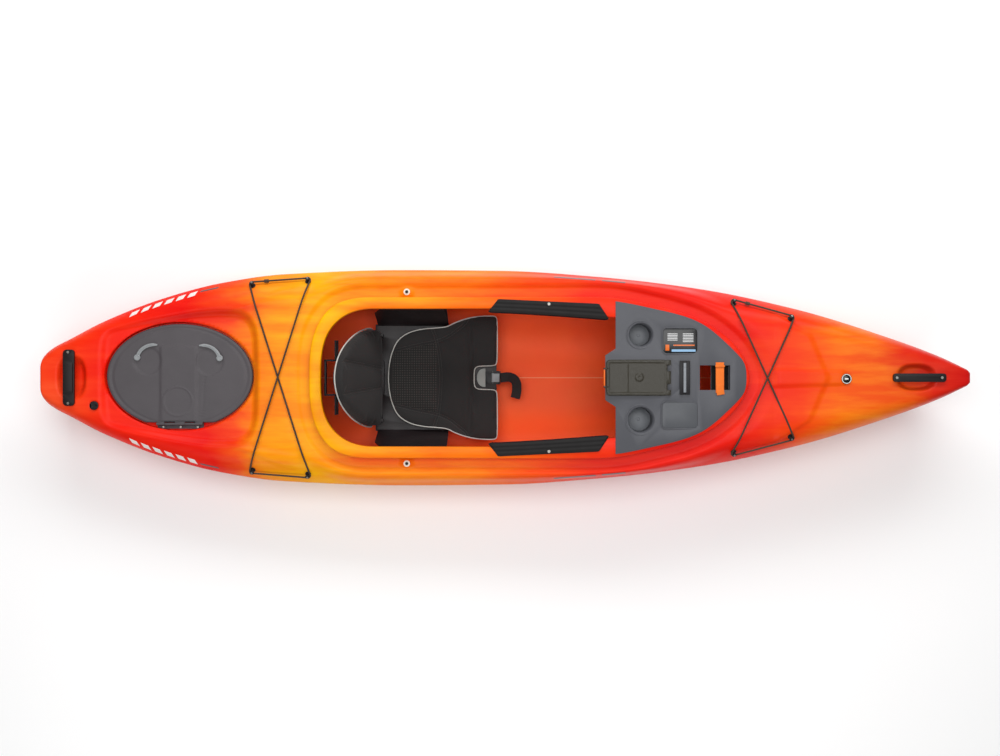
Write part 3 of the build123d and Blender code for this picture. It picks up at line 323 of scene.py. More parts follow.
def grid_solid(x, y, keep, snaps, top, under):
    """Closed solid between two heights over a grid, with holes whose edges are drawn onto outlines.

    x and y are 2-D arrays; keep says which cells stay; snaps is a list of outlines; top and under give points.
    """
    rows, cols = x.shape
    used = np.zeros((rows, cols), int)
    for di in (0, 1):
        for dj in (0, 1):
            used[di:rows - 1 + di, dj:cols - 1 + dj] += keep
    inner = np.zeros((rows, cols), bool)
    inner[1:-1, 1:-1] = True
    edge = inner & (used > 0) & (used < 4)
    x, y = x.copy(), y.copy()
    if edge.any() and snaps:
        ex, ey = x[edge], y[edge]
        best = np.full(len(ex), 1e9)
        to = np.zeros((len(ex), 2))
        for loop in snaps:
            d, near = nearest(loop, ex, ey)
            closer = np.abs(d) < best
            best[closer], to[closer] = np.abs(d)[closer], near[closer]
        x[edge], y[edge] = to[:, 0], to[:, 1]
    number = -np.ones((rows, cols), int)
    number[used > 0] = np.arange((used > 0).sum())
    on = used > 0
    a, b = top(x[on], y[on], on), under(x[on], y[on], on)
    count = len(a)
    i, j = np.nonzero(keep)
    q = np.stack([number[i, j], number[i + 1, j], number[i + 1, j + 1], number[i, j + 1]], 1)
    edges = {}
    for f in q:
        for k in range(4):
            p, r = int(f[k]), int(f[(k + 1) % 4])
            if (r, p) in edges:
                del edges[(r, p)]
            else:
                edges[(p, r)] = True
    sides = np.array([(r, p, p + count, r + count) for p, r in edges], int).reshape(-1, 4)
    faces = np.vstack([q, q[:, ::-1] + count, sides])
    groups = np.concatenate([np.zeros(len(q)), np.ones(len(q)), np.zeros(len(sides))])
    return np.vstack([a, b]), faces, groups


def swept(path, section, closed=False, scale=None, up=(0, 0, 1)):
    """Solid made by carrying a closed section along a path. The section's x is across, its y is up."""
    p = np.array(path, float)
    n = len(p)
    tangent = np.roll(p, -1, 0) - np.roll(p, 1, 0) if closed else np.gradient(p, axis=0)
    tangent /= np.linalg.norm(tangent, axis=1)[:, None]
    side = np.cross(np.array(up, float), tangent)
    side /= np.linalg.norm(side, axis=1)[:, None]
    rise_dir = np.cross(tangent, side)
    s = np.array(section, float)
    k = len(s)
    sc = np.ones((n, 2)) if scale is None else np.array(scale, float).reshape(n, -1) * np.ones((n, 2))
    verts = (p[:, None] + side[:, None] * (s[None, :, :1] * sc[:, None, :1])
             + rise_dir[:, None] * (s[None, :, 1:] * sc[:, None, 1:])).reshape(-1, 3)
    faces = []
    for i in range(n if closed else n - 1):
        i2 = (i + 1) % n
        faces += [(i * k + j, i * k + (j + 1) % k, i2 * k + (j + 1) % k, i2 * k + j) for j in range(k)]
    if not closed:
        faces += [tuple(range(k)), tuple((n - 1) * k + j for j in reversed(range(k)))]
    return verts, faces


def round_section(r, count):
    return [(r * math.cos(t), r * math.sin(t)) for t in np.linspace(0, 2 * math.pi, count, endpoint=False)]


def soft_box_section(w, h, r, steps=4):
    """Rounded rectangle, as a closed list of points."""
    points = []
    a, b = w / 2 - r, h / 2 - r
    for cx, cy, start in ((a, b, 0), (-a, b, 90), (-a, -b, 180), (a, -b, 270)):
        for t in np.radians(np.linspace(start, start + 90, steps)):
            points.append((cx + r * math.cos(t), cy + r * math.sin(t)))
    return points


def lathe(profile, x, y, count=64):
    """Solid of revolution about an upright axis through (x, y), from a closed profile of (radius, height)."""
    p = np.array(profile, float)
    t = np.linspace(0, 2 * math.pi, count, endpoint=False)
    verts = np.stack([x + p[None, :, 0] * np.cos(t)[:, None], y + p[None, :, 0] * np.sin(t)[:, None],
                      np.repeat(p[None, :, 1], count, 0)], 2).reshape(-1, 3)
    k = len(p)
    faces = [(i * k + j, i * k + (j + 1) % k, ((i + 1) % count) * k + (j + 1) % k, ((i + 1) % count) * k + j)
             for i in range(count) for j in range(k)]
    return verts, faces


def merge(*solids):
    verts, faces, start = [], [], 0
    for v, f in solids:
        verts.append(np.asarray(v, float))
        faces += [tuple(int(i) + start for i in face) for face in f]
        start += len(v)
    return np.vstack(verts), faces


def block(x0, x1, y0, y1, z0, z1, r=1.0):
    """Box with rounded upright edges and bevelled top and bottom."""
    section = np.array(soft_box_section(x1 - x0, y1 - y0, max(r, 0.05), 5))
    cx, cy = (x0 + x1) / 2, (y0 + y1) / 2
    w, h = (x1 - x0) / 2, (y1 - y0) / 2
    b = min(r, (z1 - z0) / 2.01)
    rows = [(b, z0), (b * 0.3, z0 + b * 0.3), (0, z0 + b), (0, z1 - b), (b * 0.3, z1 - b * 0.3), (b, z1)]
    verts = []
    for inset, z in rows:
        s = section * ((w - inset) / w, (h - inset) / h)
        verts += [(cx + px, cy + py, z) for px, py in s]
    k = len(section)
    faces = [(i * k + j, i * k + (j + 1) % k, (i + 1) * k + (j + 1) % k, (i + 1) * k + j)
             for i in range(len(rows) - 1) for j in range(k)]
    faces += [tuple(reversed(range(k))), tuple((len(rows) - 1) * k + j for j in range(k))]
    return np.array(verts), faces


def plate(name, outline, low, high, bevel, material, body, stands_for=()):
    """Flat plate with rounded edges, cut to an outline."""
    data = bpy.data.curves.new(name, "CURVE")
    data.dimensions = "2D"
    data.fill_mode = "BOTH"
    data.extrude = max((high - low) / 2 - bevel, 0.01) * MM
    data.bevel_depth = bevel * MM
    data.bevel_resolution = 2
    data.offset = -bevel * MM
    edge = data.splines.new("POLY")
    edge.points.add(len(outline) - 1)
    for p, (x, y) in zip(edge.points, outline):
        p.co = (x * MM, y * MM, 0, 1)
    edge.use_cyclic_u = True
    holder = bpy.data.objects.new(name + "_outline", data)
    bpy.context.scene.collection.objects.link(holder)
    bpy.context.view_layer.update()
    mesh = bpy.data.meshes.new_from_object(holder.evaluated_get(bpy.context.evaluated_depsgraph_get()))
    bpy.data.objects.remove(holder)
    bm = bmesh.new()
    bm.from_mesh(mesh)
    bmesh.ops.remove_doubles(bm, verts=bm.verts, dist=2e-6)
    for v in bm.verts:
        v.co.z += (low + high) / 2 * MM
    bm.to_mesh(mesh)
    bm.free()
    mesh.materials.clear()
    mesh.materials.append(material)
    obj = finish(name, mesh, body, True, stands_for)
    return sharpen(obj, 40)


def loop_box(x0, x1, y0, y1, r, steps=6):
    cx, cy = (x0 + x1) / 2, (y0 + y1) / 2
    return [(cx + px, cy + py) for px, py in soft_box_section(x1 - x0, y1 - y0, r, steps)]


def softened(node, material, body, width=0.6, angle=30):
    """Fair copy of a CAD node with small rounded edges."""
    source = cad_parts[node]
    mesh = source.data.copy()
    mesh.name = node + "_fair"
    obj = bpy.data.objects.new(node + "_fair", mesh)
    bpy.context.scene.collection.objects.link(obj)
    obj.matrix_world = source.matrix_world.copy()
    bpy.context.view_layer.update()
    mesh.transform(obj.matrix_world)
    obj.matrix_world = Matrix.Identity(4)
    bm = bmesh.new()
    bm.from_mesh(mesh)
    bmesh.ops.remove_doubles(bm, verts=bm.verts, dist=5e-6)
    bmesh.ops.dissolve_limit(bm, angle_limit=math.radians(2), verts=bm.verts[:], edges=bm.edges[:])
    bm.to_mesh(mesh)
    bm.free()
    if width:
        mod = obj.modifiers.new("round", "BEVEL")
        mod.width = width * MM
        mod.segments = 2
        mod.limit_method = "ANGLE"
        mod.angle_limit = math.radians(angle)
        mod.use_clamp_overlap = True
        bpy.context.view_layer.update()
        made = bpy.data.meshes.new_from_object(obj.evaluated_get(bpy.context.evaluated_depsgraph_get()))
        obj.modifiers.clear()
        obj.data = made
    mesh = obj.data
    mesh.materials.clear()
    mesh.materials.append(material)
    bpy.data.objects.remove(obj)
    made = finish(node + "_fair", mesh, body, True, (node,))
    return sharpen(made, 28)


# ---------------------------------------------------------------- materials

MATH, MIX, NOISE = "ShaderNodeMath", "ShaderNodeMix", "ShaderNodeTexNoise"
BUMP, MAPPING, AXES = "ShaderNodeBump", "ShaderNodeMapping", "ShaderNodeSeparateXYZ"


def linear(code):
    """Scene-linear colour from a six-figure hex code."""
    values = [int(code[i:i + 2], 16) / 255 for i in (1, 3, 5)]
    return tuple(v / 12.92 if v <= 0.04045 else ((v + 0.055) / 1.055) ** 2.4 for v in values) + (1.0,)


def feed(socket, value):
    """Give a socket a number, a colour or the output of another node."""
    if isinstance(value, bpy.types.NodeSocket):
        socket.id_data.links.new(value, socket)
    else:
        socket.default_value = value


def add(tree, kind, *values, **named):
    """Add a node and give its first live output.

    values go to its live inputs in turn. The named ones are its properties, or else the inputs of that name.
    """
    node = tree.nodes.new(kind)
    for key in [k for k in named if hasattr(node, k)]:
        setattr(node, key, named.pop(key))
    for socket, value in zip([s for s in node.inputs if s.enabled], values):
        feed(socket, value)
    for key, value in named.items():
        feed(node.inputs[key.replace("_", " ")], value)
    return next((s for s in node.outputs if s.enabled), None)


def new_material(name):
    """A material, its tree, and the object coordinates in metres that its patterns lie on."""
    made = bpy.data.materials.new(name)
    made.use_nodes = True
    return made, made.node_tree, add(made.node_tree, "ShaderNodeTexCoord").node.outputs["Object"]


def surface(made, **inputs):
    """Set the sockets of the material's shader and hand the material back."""
    shader = made.node_tree.nodes["Principled BSDF"]
    for key, value in inputs.items():
        feed(shader.inputs[key.replace("_", " ")], value)
    return made


# Pigment powders of several colours laid in the mould run into each other along the length.
REDDER = [(-1600, "#ee3c14"), (-1450, "#ec2c0c"), (-1330, "#e61606"), (-1050, "#d80802"), (-940, "#e03008"),
          (-850, "#ea7008"), (-640, "#ee8c06"), (-440, "#ee6206"), (-100, "#ec5604"), (120, "#e63404"),
          (330, "#dc1606"), (600, "#d80a06"), (850, "#de1c0e"), (1010, "#e4340a"), (1150, "#e65206"),
          (1330, "#de4a0a"), (1440, "#d02410"), (1600, "#c0120e")]
YELLOWER = [(-1600, "#f86034"), (-1450, "#f84c20"), (-1330, "#f4300e"), (-1050, "#ea1e0a"), (-940, "#f05a1a"),
            (-850, "#f6a00e"), (-640, "#f8be04"), (-440, "#f89c0e"), (-100, "#f8860e"), (120, "#f4640e"),
            (330, "#ea3a10"), (600, "#e62010"), (850, "#ea3416"), (1010, "#f0560e"), (1150, "#f28a12"),
            (1330, "#f28c22"), (1440, "#e2462a"), (1600, "#d42420")]


def moulded_hull(name, yellow=0.0):
    """Rotationally moulded polyethylene: marbled pigment, with a painted highlight that turns the colour
    yellower towards the side edges, and a satin skin with faint orange peel 4 mm across.
    """
    made, tree, at = new_material(name)
    axes = add(tree, AXES, at).node.outputs
    # clouds of pigment 400 mm long shift the colours fore and aft; streaks 50 by 350 mm mix the two tables
    long, thin = [add(tree, MAPPING, at, Scale=drawn) for drawn in ((1.0, 2.2, 1.0), (0.7, 5.0, 2.0))]
    drift = add(tree, NOISE, long, Scale=2.6, Detail=4.0, Roughness=0.55)
    streaks = add(tree, NOISE, thin, Scale=4.0, Detail=5.0, Roughness=0.6)
    shift = add(tree, MATH, add(tree, MATH, drift, 0.5, operation="SUBTRACT"), 0.10, operation="MULTIPLY")
    along = add(tree, MATH, axes["X"], LENGTH / 2 * MM, operation="ADD")
    along = add(tree, MATH, along, LENGTH * MM, operation="DIVIDE")
    along = add(tree, MATH, along, shift, operation="ADD")
    tones = []
    for table in (REDDER, YELLOWER):
        tones.append(add(tree, "ShaderNodeValToRGB", along))
        stops = tones[-1].node.color_ramp.elements
        while len(stops) < len(table):
            stops.new(0.5)
        for stop, (x, code) in zip(stops, table):
            stop.position = (x + LENGTH / 2) / LENGTH
            stop.color = linear(code)
    # yellower towards both side edges as a painted highlight, and none on the raised spine of the foredeck
    edge_highlight = add(tree, MATH, add(tree, MATH, axes["Y"], operation="ABSOLUTE"), 1.1, operation="MULTIPLY")
    edge_highlight = add(tree, MATH, edge_highlight, 0.22, operation="SUBTRACT")
    swirl = add(tree, MATH, add(tree, MATH, streaks, 0.36, operation="SUBTRACT"), 2.1, operation="MULTIPLY")
    swirl = add(tree, MATH, swirl, yellow, operation="ADD")
    # painted highlight: the swirl leans to the yellower table towards the side edges
    swirl = add(tree, MATH, swirl, edge_highlight, operation="ADD", use_clamp=True)
    fore = add(tree, MATH, axes["X"], 1.050, 0.115, operation="COMPARE")
    middle = add(tree, MATH, axes["Y"], 0.0, 0.028, operation="COMPARE")
    spine = add(tree, MATH, add(tree, MATH, fore, middle, operation="MULTIPLY"), 0.75, operation="MULTIPLY")
    swirl = add(tree, MATH, swirl, add(tree, MATH, 1.0, spine, operation="SUBTRACT"), operation="MULTIPLY")
    dull = add(tree, MATH, add(tree, NOISE, at, Scale=7.0, Detail=3.0), 0.10, operation="MULTIPLY")
    peel = add(tree, NOISE, at, Scale=260.0)
    return surface(made, IOR=1.5, Specular_IOR_Level=0.12,
                   Base_Color=add(tree, MIX, swirl, *tones, data_type="RGBA"),
                   Roughness=add(tree, MATH, dull, 0.30, operation="ADD"),
                   Normal=add(tree, BUMP, Strength=0.25, Distance=0.0004, Height=peel))


def moulded_inside():
    """Bare inner face of the moulding: the same plastic, evenly coloured but painted a brighter orange than the
    outside as a painted glow, standing in for light coming through the shell into the shaded cockpit, with a
    parting line on the floor.
    """
    made, tree, at = new_material("polyethylene_inner_face_painted_glow")
    off_centre = add(tree, MATH, add(tree, AXES, at).node.outputs["Y"], operation="ABSOLUTE")
    line = add(tree, MATH, off_centre, 0.0016, operation="LESS_THAN")
    line = add(tree, MATH, line, 0.55, operation="MULTIPLY")
    blotch = add(tree, NOISE, at, Scale=5.0, Detail=4.0)
    # painted light: oranges near full brightness, so the shaded cockpit floor looks lit as if light came through
    # the shell
    base = add(tree, MIX, blotch, linear("#fb480c"), linear("#ff641a"), data_type="RGBA")
    pits = add(tree, NOISE, at, Scale=120.0, Detail=3.0)
    return surface(made, Roughness=0.5, IOR=1.5, Specular_IOR_Level=0.25,
                   Base_Color=add(tree, MIX, line, base, linear("#ffb080"), data_type="RGBA"),
                   Normal=add(tree, BUMP, Strength=0.35, Distance=0.001, Height=pits))


def plastic(name, code, rough=0.5, grain=420.0, depth=0.0003, shine=0.5):
    """Injection-moulded plastic with a spark-eroded grain, drawn 2.4 mm across, coarser than real, to show."""
    made, tree, at = new_material(name)
    lighter = tuple(min(1.0, c * 1.3) for c in linear(code)[:3]) + (1.0,)
    cloud = add(tree, NOISE, at, Scale=9.0, Detail=4.0)
    dull = add(tree, MATH, add(tree, NOISE, at, Scale=30.0, Detail=3.0), 0.16, operation="MULTIPLY")
    grains = add(tree, NOISE, at, Scale=grain)
    return surface(made, IOR=1.5, Specular_IOR_Level=shine,
                   Base_Color=add(tree, MIX, cloud, linear(code), lighter, data_type="RGBA"),
                   Roughness=add(tree, MATH, dull, rough - 0.08, operation="ADD"),
                   Normal=add(tree, BUMP, Strength=0.6, Distance=depth, Height=grains))


def metal(name, code, rough, stretch=(1.0, 1.0, 40.0)):
    """Metal with fine finishing lines, drawn out along the axes that stretch leaves at 1."""
    made, tree, at = new_material(name)
    lines = add(tree, NOISE, add(tree, MAPPING, at, Scale=stretch), Scale=60.0, Detail=3.0)
    dull = add(tree, MATH, lines, 0.2, operation="MULTIPLY")
    return surface(made, Metallic=1.0, Base_Color=linear(code),
                   Roughness=add(tree, MATH, dull, rough, operation="ADD"),
                   Normal=add(tree, BUMP, Strength=0.4, Distance=0.0002, Height=lines))


def woven(name, code, light, pitch=900.0, fuzz=0.35, rough=0.85):
    """Woven cloth: crossed waves of thread, pitch threads to the metre, with a soft edge of fuzz and the raised
    crowns of the threads painted in the lighter colour as a painted highlight.
    """
    made, tree, at = new_material(name)
    threads = [add(tree, "ShaderNodeTexWave", at, wave_type="BANDS", bands_direction=axis, Scale=pitch / 6.28,
                   Distortion=0.6, Detail=1.0).node.outputs["Fac"] for axis in ("X", "Y")]
    weave = add(tree, MATH, *threads, operation="MULTIPLY")
    cloud = add(tree, NOISE, at, Scale=14.0, Detail=4.0)
    tone = add(tree, MIX, cloud, linear(code), linear(light), data_type="RGBA")
    # painted highlight: the lighter colour laid on the raised crowns of the weave
    crown_highlight = add(tree, MATH, weave, 0.5, operation="MULTIPLY")
    return surface(made, Roughness=rough, Sheen_Weight=fuzz, Sheen_Roughness=0.5,
                   Base_Color=add(tree, MIX, crown_highlight, tone, linear(light), data_type="RGBA"),
                   Normal=add(tree, BUMP, Strength=0.5, Distance=0.0004, Height=weave))


def spacer_mesh():
    """Knitted spacer fabric: rows of small holes, 8.5 mm apart, in a dull black face."""
    made, tree, at = new_material("polyester_spacer_mesh_black")
    axes = add(tree, AXES, at).node.outputs
    rows = [add(tree, MATH, axes[axis], 2 * math.pi / 0.0085, operation="MULTIPLY") for axis in ("X", "Y")]
    waves = [add(tree, MATH, row, operation="COSINE") for row in rows]
    holes = add(tree, MATH, add(tree, MATH, *waves, operation="ADD"), 0.9, operation="GREATER_THAN")
    knit = add(tree, MATH, 1.0, holes, operation="SUBTRACT")
    return surface(made, Roughness=0.85,
                   Base_Color=add(tree, MIX, holes, linear("#171514"), linear("#3b3835"), data_type="RGBA"),
                   Normal=add(tree, BUMP, Strength=0.8, Distance=0.0008, Height=knit))


def label_film():
    """Printed film with no lettering: grey rules, an orange bar and a pale strip on glossy black."""
    made, tree, at = new_material("printed_label_film_black")
    axes = add(tree, AXES, at).node.outputs

    def box(x0, x1, y0, y1):
        """1 inside a rectangle of the film, given in metres, and 0 outside it."""
        along = add(tree, MATH, axes["X"], (x0 + x1) / 2, (x1 - x0) / 2, operation="COMPARE")
        across = add(tree, MATH, axes["Y"], (y0 + y1) / 2, (y1 - y0) / 2, operation="COMPARE")
        return add(tree, MATH, along, across, operation="MULTIPLY")

    # rules 5.3 mm apart, in two blocks
    rule = add(tree, MATH, add(tree, MATH, axes["Y"], 190.0, operation="MULTIPLY"), operation="FRACT")
    rule = add(tree, MATH, rule, 0.45, operation="LESS_THAN")
    blocks = add(tree, MATH, box(0.560, 0.594, 0.126, 0.150), box(0.612, 0.648, 0.120, 0.150), operation="ADD")
    rules = add(tree, MATH, blocks, rule, operation="MULTIPLY")
    bars = add(tree, MATH, box(0.553, 0.566, 0.092, 0.112), box(0.580, 0.652, 0.108, 0.112), operation="ADD")
    strip = box(0.574, 0.655, 0.088, 0.096)
    base = add(tree, MIX, rules, linear("#0b0b0e"), linear("#c9c9c9"), data_type="RGBA")
    base = add(tree, MIX, bars, base, linear("#d9660f"), data_type="RGBA")
    return surface(made, Roughness=0.22, IOR=1.5,
                   Base_Color=add(tree, MIX, strip, base, linear("#8fb6d8"), data_type="RGBA"))


def smoke():
    """Polycarbonate tinted smoke, moulded glossy: the dark box under it shows through a little."""
    made, tree, at = new_material("polycarbonate_smoke_tint")
    ripple = add(tree, NOISE, at, Scale=30.0)
    return surface(made, Roughness=0.22, IOR=1.5, Specular_IOR_Level=0.2, Coat_Weight=0.04,
                   Base_Color=linear("#38352d"), Alpha=0.9,
                   Normal=add(tree, BUMP, Strength=0.3, Distance=0.0005, Height=ripple))


# red running into orange and yellow along the boat, with a satin skin and a painted highlight that turns the
# side edges yellower
HULL = moulded_hull("rotomoulded_polyethylene_marbled")
# the same, yellower, as thin edges of the moulding come out
LIP = moulded_hull("rotomoulded_polyethylene_marbled_coaming", yellow=0.22)
# inner face painted bright, a painted glow in the shaded cockpit
INSIDE_PAINTED_GLOW = moulded_inside()
# moulded polyethylene: a dull warm grey
LID_GREY = plastic("moulded_polyethylene_lid_dark_grey", "#433f42", 0.5, shine=0.35)
# moulded ABS: cooler and a little glossier greys
DASH_GREY = plastic("moulded_abs_dashboard_grey", "#46474c", 0.45, shine=0.35)
# pale grey: on the cup floors it is painted light, lighter than the dashboard so that the deep cups don't read
# dark
PALE_GREY_AND_CUP_FLOOR_PAINTED_LIGHT = plastic("moulded_abs_pale_grey_cup_floor_painted_light", "#787b80", 0.5, shine=0.4)
TRAY_GREY = plastic("moulded_abs_tray_lid_grey", "#45474b", 0.42, shine=0.4)
# moulded nylon: hard, with a soft highlight
BLACK = plastic("moulded_nylon_black", "#121013", 0.45, shine=0.3)
LEVER_GREY = plastic("moulded_nylon_lever_light_grey", "#7d8082", 0.42, shine=0.4)
WASHER = plastic("moulded_nylon_washer_cream", "#d9cdbd", 0.4)
ORANGE = plastic("moulded_nylon_orange", "#dd6412", 0.4)
# moulded polyethylene: black with a brown cast and broad highlights
SEAT_BLACK = plastic("moulded_polyethylene_seat_pan_black", "#1d1718", 0.42, shine=0.3)
# rubber: black that hardly shines
HANDLE_BLACK = plastic("moulded_rubber_handle_black", "#120e0f", 0.5, shine=0.3)
# foams and sponge: matt, with open cells
PAD_BLACK = plastic("ribbed_foam_rubber_black", "#110f0f", 0.7, 700.0, 0.0005, shine=0.3)
SEAL = plastic("sponge_rubber_seal_black", "#121212", 0.8, shine=0.2)
FOAM = plastic("minicell_foam_dark_grey", "#2a2a2c", 0.9, 900.0, 0.0006, shine=0.2)
# cut vinyl: flat colour, smooth
DECAL = plastic("vinyl_decal_light_grey", "#d8cfcb", 0.35, 60.0, 0.00005)
DECAL_DARK = plastic("vinyl_decal_dark_grey", "#56484a", 0.35, 60.0, 0.00005)
# poured resin: glossy as glass
BADGE_BLACK = plastic("doming_resin_black", "#0d0c0e", 0.18, 20.0, 0.00002)
BADGE_WHITE = plastic("doming_resin_white", "#e9e4dd", 0.2, 20.0, 0.00002)
# turned steel: bright, with rings on the heads
STEEL = metal("stainless_steel_turned", "#96938d", 0.32)
# brushed aluminium: a silky grey, brushed along its length
RAIL = metal("aluminium_anodised_brushed", "#8d8d90", 0.32, (1.0, 30.0, 30.0))
# cloths: dull, their threads just showing; the knitted one lets light into its holes
CLOTH = woven("polyester_seat_fabric_black", "#121011", "#1e1b1a", fuzz=0.08)
MESH_CLOTH = spacer_mesh()
# beaded piping and waxed thread: pale lines that catch the light
PIPING = woven("reflective_piping_light_grey", "#a3a19b", "#c9c7c1", 1400.0, 0.1, 0.55)
THREAD = woven("bonded_polyester_thread_grey", "#3a3836", "#4e4b48", 2500.0, 0.0, 0.6)
# webbing and strap: a tight ribbed weave
WEB = woven("nylon_webbing_black", "#121010", "#221f1f", 700.0, 0.08)
TAB_WEB = woven("nylon_webbing_light_grey", "#7c7d7a", "#a3a4a0", 700.0, 0.1)
STRAP = woven("hook_and_loop_strap_orange", "#d3560c", "#ea7c20", 800.0, 0.1)
# braided cover: brown threads among black ones
CORD = woven("braided_bungee_cover_brown_black", "#1c140d", "#4a3524", 1100.0, 0.05, 0.7)
LABEL = label_film()
SMOKE = smoke()


# ---------------------------------------------------------------- hull


# stern scoop, hatch basin, both ends of the coaming, bow scoop
FINE_ROWS = [(-1560, -1430), (-1420, -800), (-700, -560), (700, 860), (1310, 1520)]


def stations():
    """Rows along the hull, closer together where the moulding has most detail."""
    x, rows = -LENGTH / 2, []
    while x < LENGTH / 2:
        rows.append(x)
        fine = any(start < x < end for start, end in FINE_ROWS)
        near_end = LENGTH / 2 - abs(x) < 10
        x += 1.5 if near_end else 5.0 if fine else 8.5
    return np.array(rows + [LENGTH / 2])


def skin_grid(rows, cols, crowd):
    s = np.linspace(-1, 1, cols)
    u = np.sign(s) * (1 - (1 - np.abs(s)) ** crowd)
    x = np.repeat(rows[:, None], cols, 1)
    return x, np.repeat(u[None], len(rows), 0)


def capped(rows):
    """Rows with three more at each end, and how far each is drawn to the seam."""
    share = np.concatenate([[0, 0.34, 0.7], np.ones(len(rows)), [0.7, 0.34, 0]])
    return np.concatenate([[rows[0]] * 3, rows, [rows[-1]] * 3]), share


def shell(name, x, u, share, height, keep, snaps, sign, stands_for=()):
    """Closed half of the hull. sign is +1 for the deck and -1 for the bottom."""
    hb = half_breadth(x)
    y = u * hb
    ends = np.repeat(share[:, None], x.shape[1], 1)

    def outer(px, py, on):
        z = height(px, py)
        return np.stack([px, py, seam_z(px) + (z - seam_z(px)) * ends[on]], 1)

    def inner(px, py, on):
        p = outer(px, py, on)
        edge = 1 - np.abs(np.clip(py / half_breadth(px), -1, 1)) ** 12
        p[:, 2] -= sign * WALL * edge * ends[on]
        p[:, 1] *= 1 - WALL / half_breadth(px)
        p[:, 0] = np.clip(px, -LENGTH / 2 + WALL, LENGTH / 2 - WALL)
        return p

    verts, faces, groups = grid_solid(x, y, keep, snaps, outer, inner)
    return piece(name, verts, faces, [HULL, INSIDE_PAINTED_GLOW], "hull", True, stands_for, groups)


def deck_shell():
    rows, share = capped(stations())
    x, u = skin_grid(rows, 101, 1.35)
    y = u * half_breadth(x)
    cx = (x[:-1, :-1] + x[1:, 1:]) / 2
    cy = (y[:-1, :-1] + y[1:, 1:] + y[:-1, 1:] + y[1:, :-1]) / 4
    holes = [rim_loop(12.5), ellipse_loop(8), circle_loop(PLUG[0], PLUG[1], 12)]
    keep = np.ones(cx.shape, bool)
    for loop in holes:
        box = ((cx > loop[:, 0].min() - 5) & (cx < loop[:, 0].max() + 5))
        inside = np.zeros(cx.shape, bool)
        inside[box] = nearest(loop, cx[box], cy[box])[0] < 0
        keep &= ~inside
    return shell("deck_shell", x, u, share, deck, keep, holes, 1, ("hull_shell",))


def bottom_shell():
    ends = np.linspace(1590, 1600, 6)
    rows, share = capped(np.unique(np.concatenate([-ends[::-1], np.linspace(-1590, 1590, 230), ends])))
    x, u = skin_grid(rows, 73, 1.25)
    keep = np.ones((x.shape[0] - 1, x.shape[1] - 1), bool)

    def height(px, py):
        return bottom(px, np.abs(py) / half_breadth(px))

    return shell("hull_bottom", x, u, share, height, keep, [], -1)


def coaming():
    """Raised lip round the cockpit: neck out of the channel, overhang outward, edge turned down inward."""
    inner, outer = COCKPIT, RIM
    width = np.linalg.norm(outer - inner, axis=1)
    toward = (inner - outer) / width[:, None]
    # (distance from the outer edge, share of the width, height over the rim line)
    section = [(0, 1, -18), (-0.5, 1, -9), (0, 1, -4), (-1.2, 1, -1.3), (-4, 1, 0), (0, 0.5, 0.6), (5, 0, 0),
               (1.6, 0, -1.3), (0, 0, -4), (0.2, 0, -9), (2, 0, -10), (4, 0, -7.5), (8.5, 0, -6), (10, 0, -8),
               (9.5, 0, -40), (15, 0, -40), (15, 0, -8), (17, 0, -5), (-7, 1, -5), (-4.4, 1, -7),
               (-4.2, 1, -18)]
    rim = rim_z(outer[:, 0] * 0.5 + inner[:, 0] * 0.5)
    verts = []
    for i in range(len(outer)):
        for away, share, dz in section:
            p = outer[i] + toward[i] * (away + share * width[i])
            verts.append((p[0], p[1], rim[i] + dz))
    k, n = len(section), len(outer)
    faces = [(i * k + j, i * k + (j + 1) % k, ((i + 1) % n) * k + (j + 1) % k, ((i + 1) % n) * k + j)
             for i in range(n) for j in range(k)]
    return sharpen(piece("coaming_lip", verts, faces, LIP, "hull"), 60)


def hatch_ring():
    """Gutter and upstand round the hatch opening, under the lid's skirt."""
    floor = HATCH_FLOOR
    # (distance outside the lid's edge, height); a height below 0 counts from the deck, None is just over it
    section = [(9.5, None), (7.4, -1.0), (6.4, -3.5), (6, floor + 3), (4.5, floor), (-16.5, floor),
               (-18.5, floor + 2), (-19, floor + 9), (-20.5, floor + 11.6), (-26, floor + 11.6),
               (-28, floor + 9), (-28, floor - 7), (-24, floor - 5), (8, floor - 5), (11, floor - 3), (11.5, -6)]
    loops = [ellipse_loop(e, 200) for e, _ in section]
    level = deck(*ellipse_loop(9.5, 200).T)
    verts = []
    for i in range(200):
        for loop, (_, z) in zip(loops, section):
            z = level[i] + 0.3 if z is None else level[i] + z if z < 0 else z
            verts.append((*loop[i], z))
    k = len(section)
    faces = [(i * k + j, i * k + (j + 1) % k, ((i + 1) % 200) * k + (j + 1) % k, ((i + 1) % 200) * k + j)
             for i in range(200) for j in range(k)]
    return sharpen(piece("hatch_ring", verts, faces, HULL, "hull"), 60)


deck_shell()
bottom_shell()
coaming()
hatch_ring()

# ---------------------------------------------------------------- stern hatch

HINGE_Y, HINGE_R = -160.0, 4.0
HINGE_Z = LID_TOP + 1.5
HINGE_MARKS = [-80.0, -52.8, -17.6, 17.6, 52.8, 80.0]
LEVER_PIVOTS = [(HATCH_X - 146, 70.0, 1), (HATCH_X + 139, 68.0, -1)]


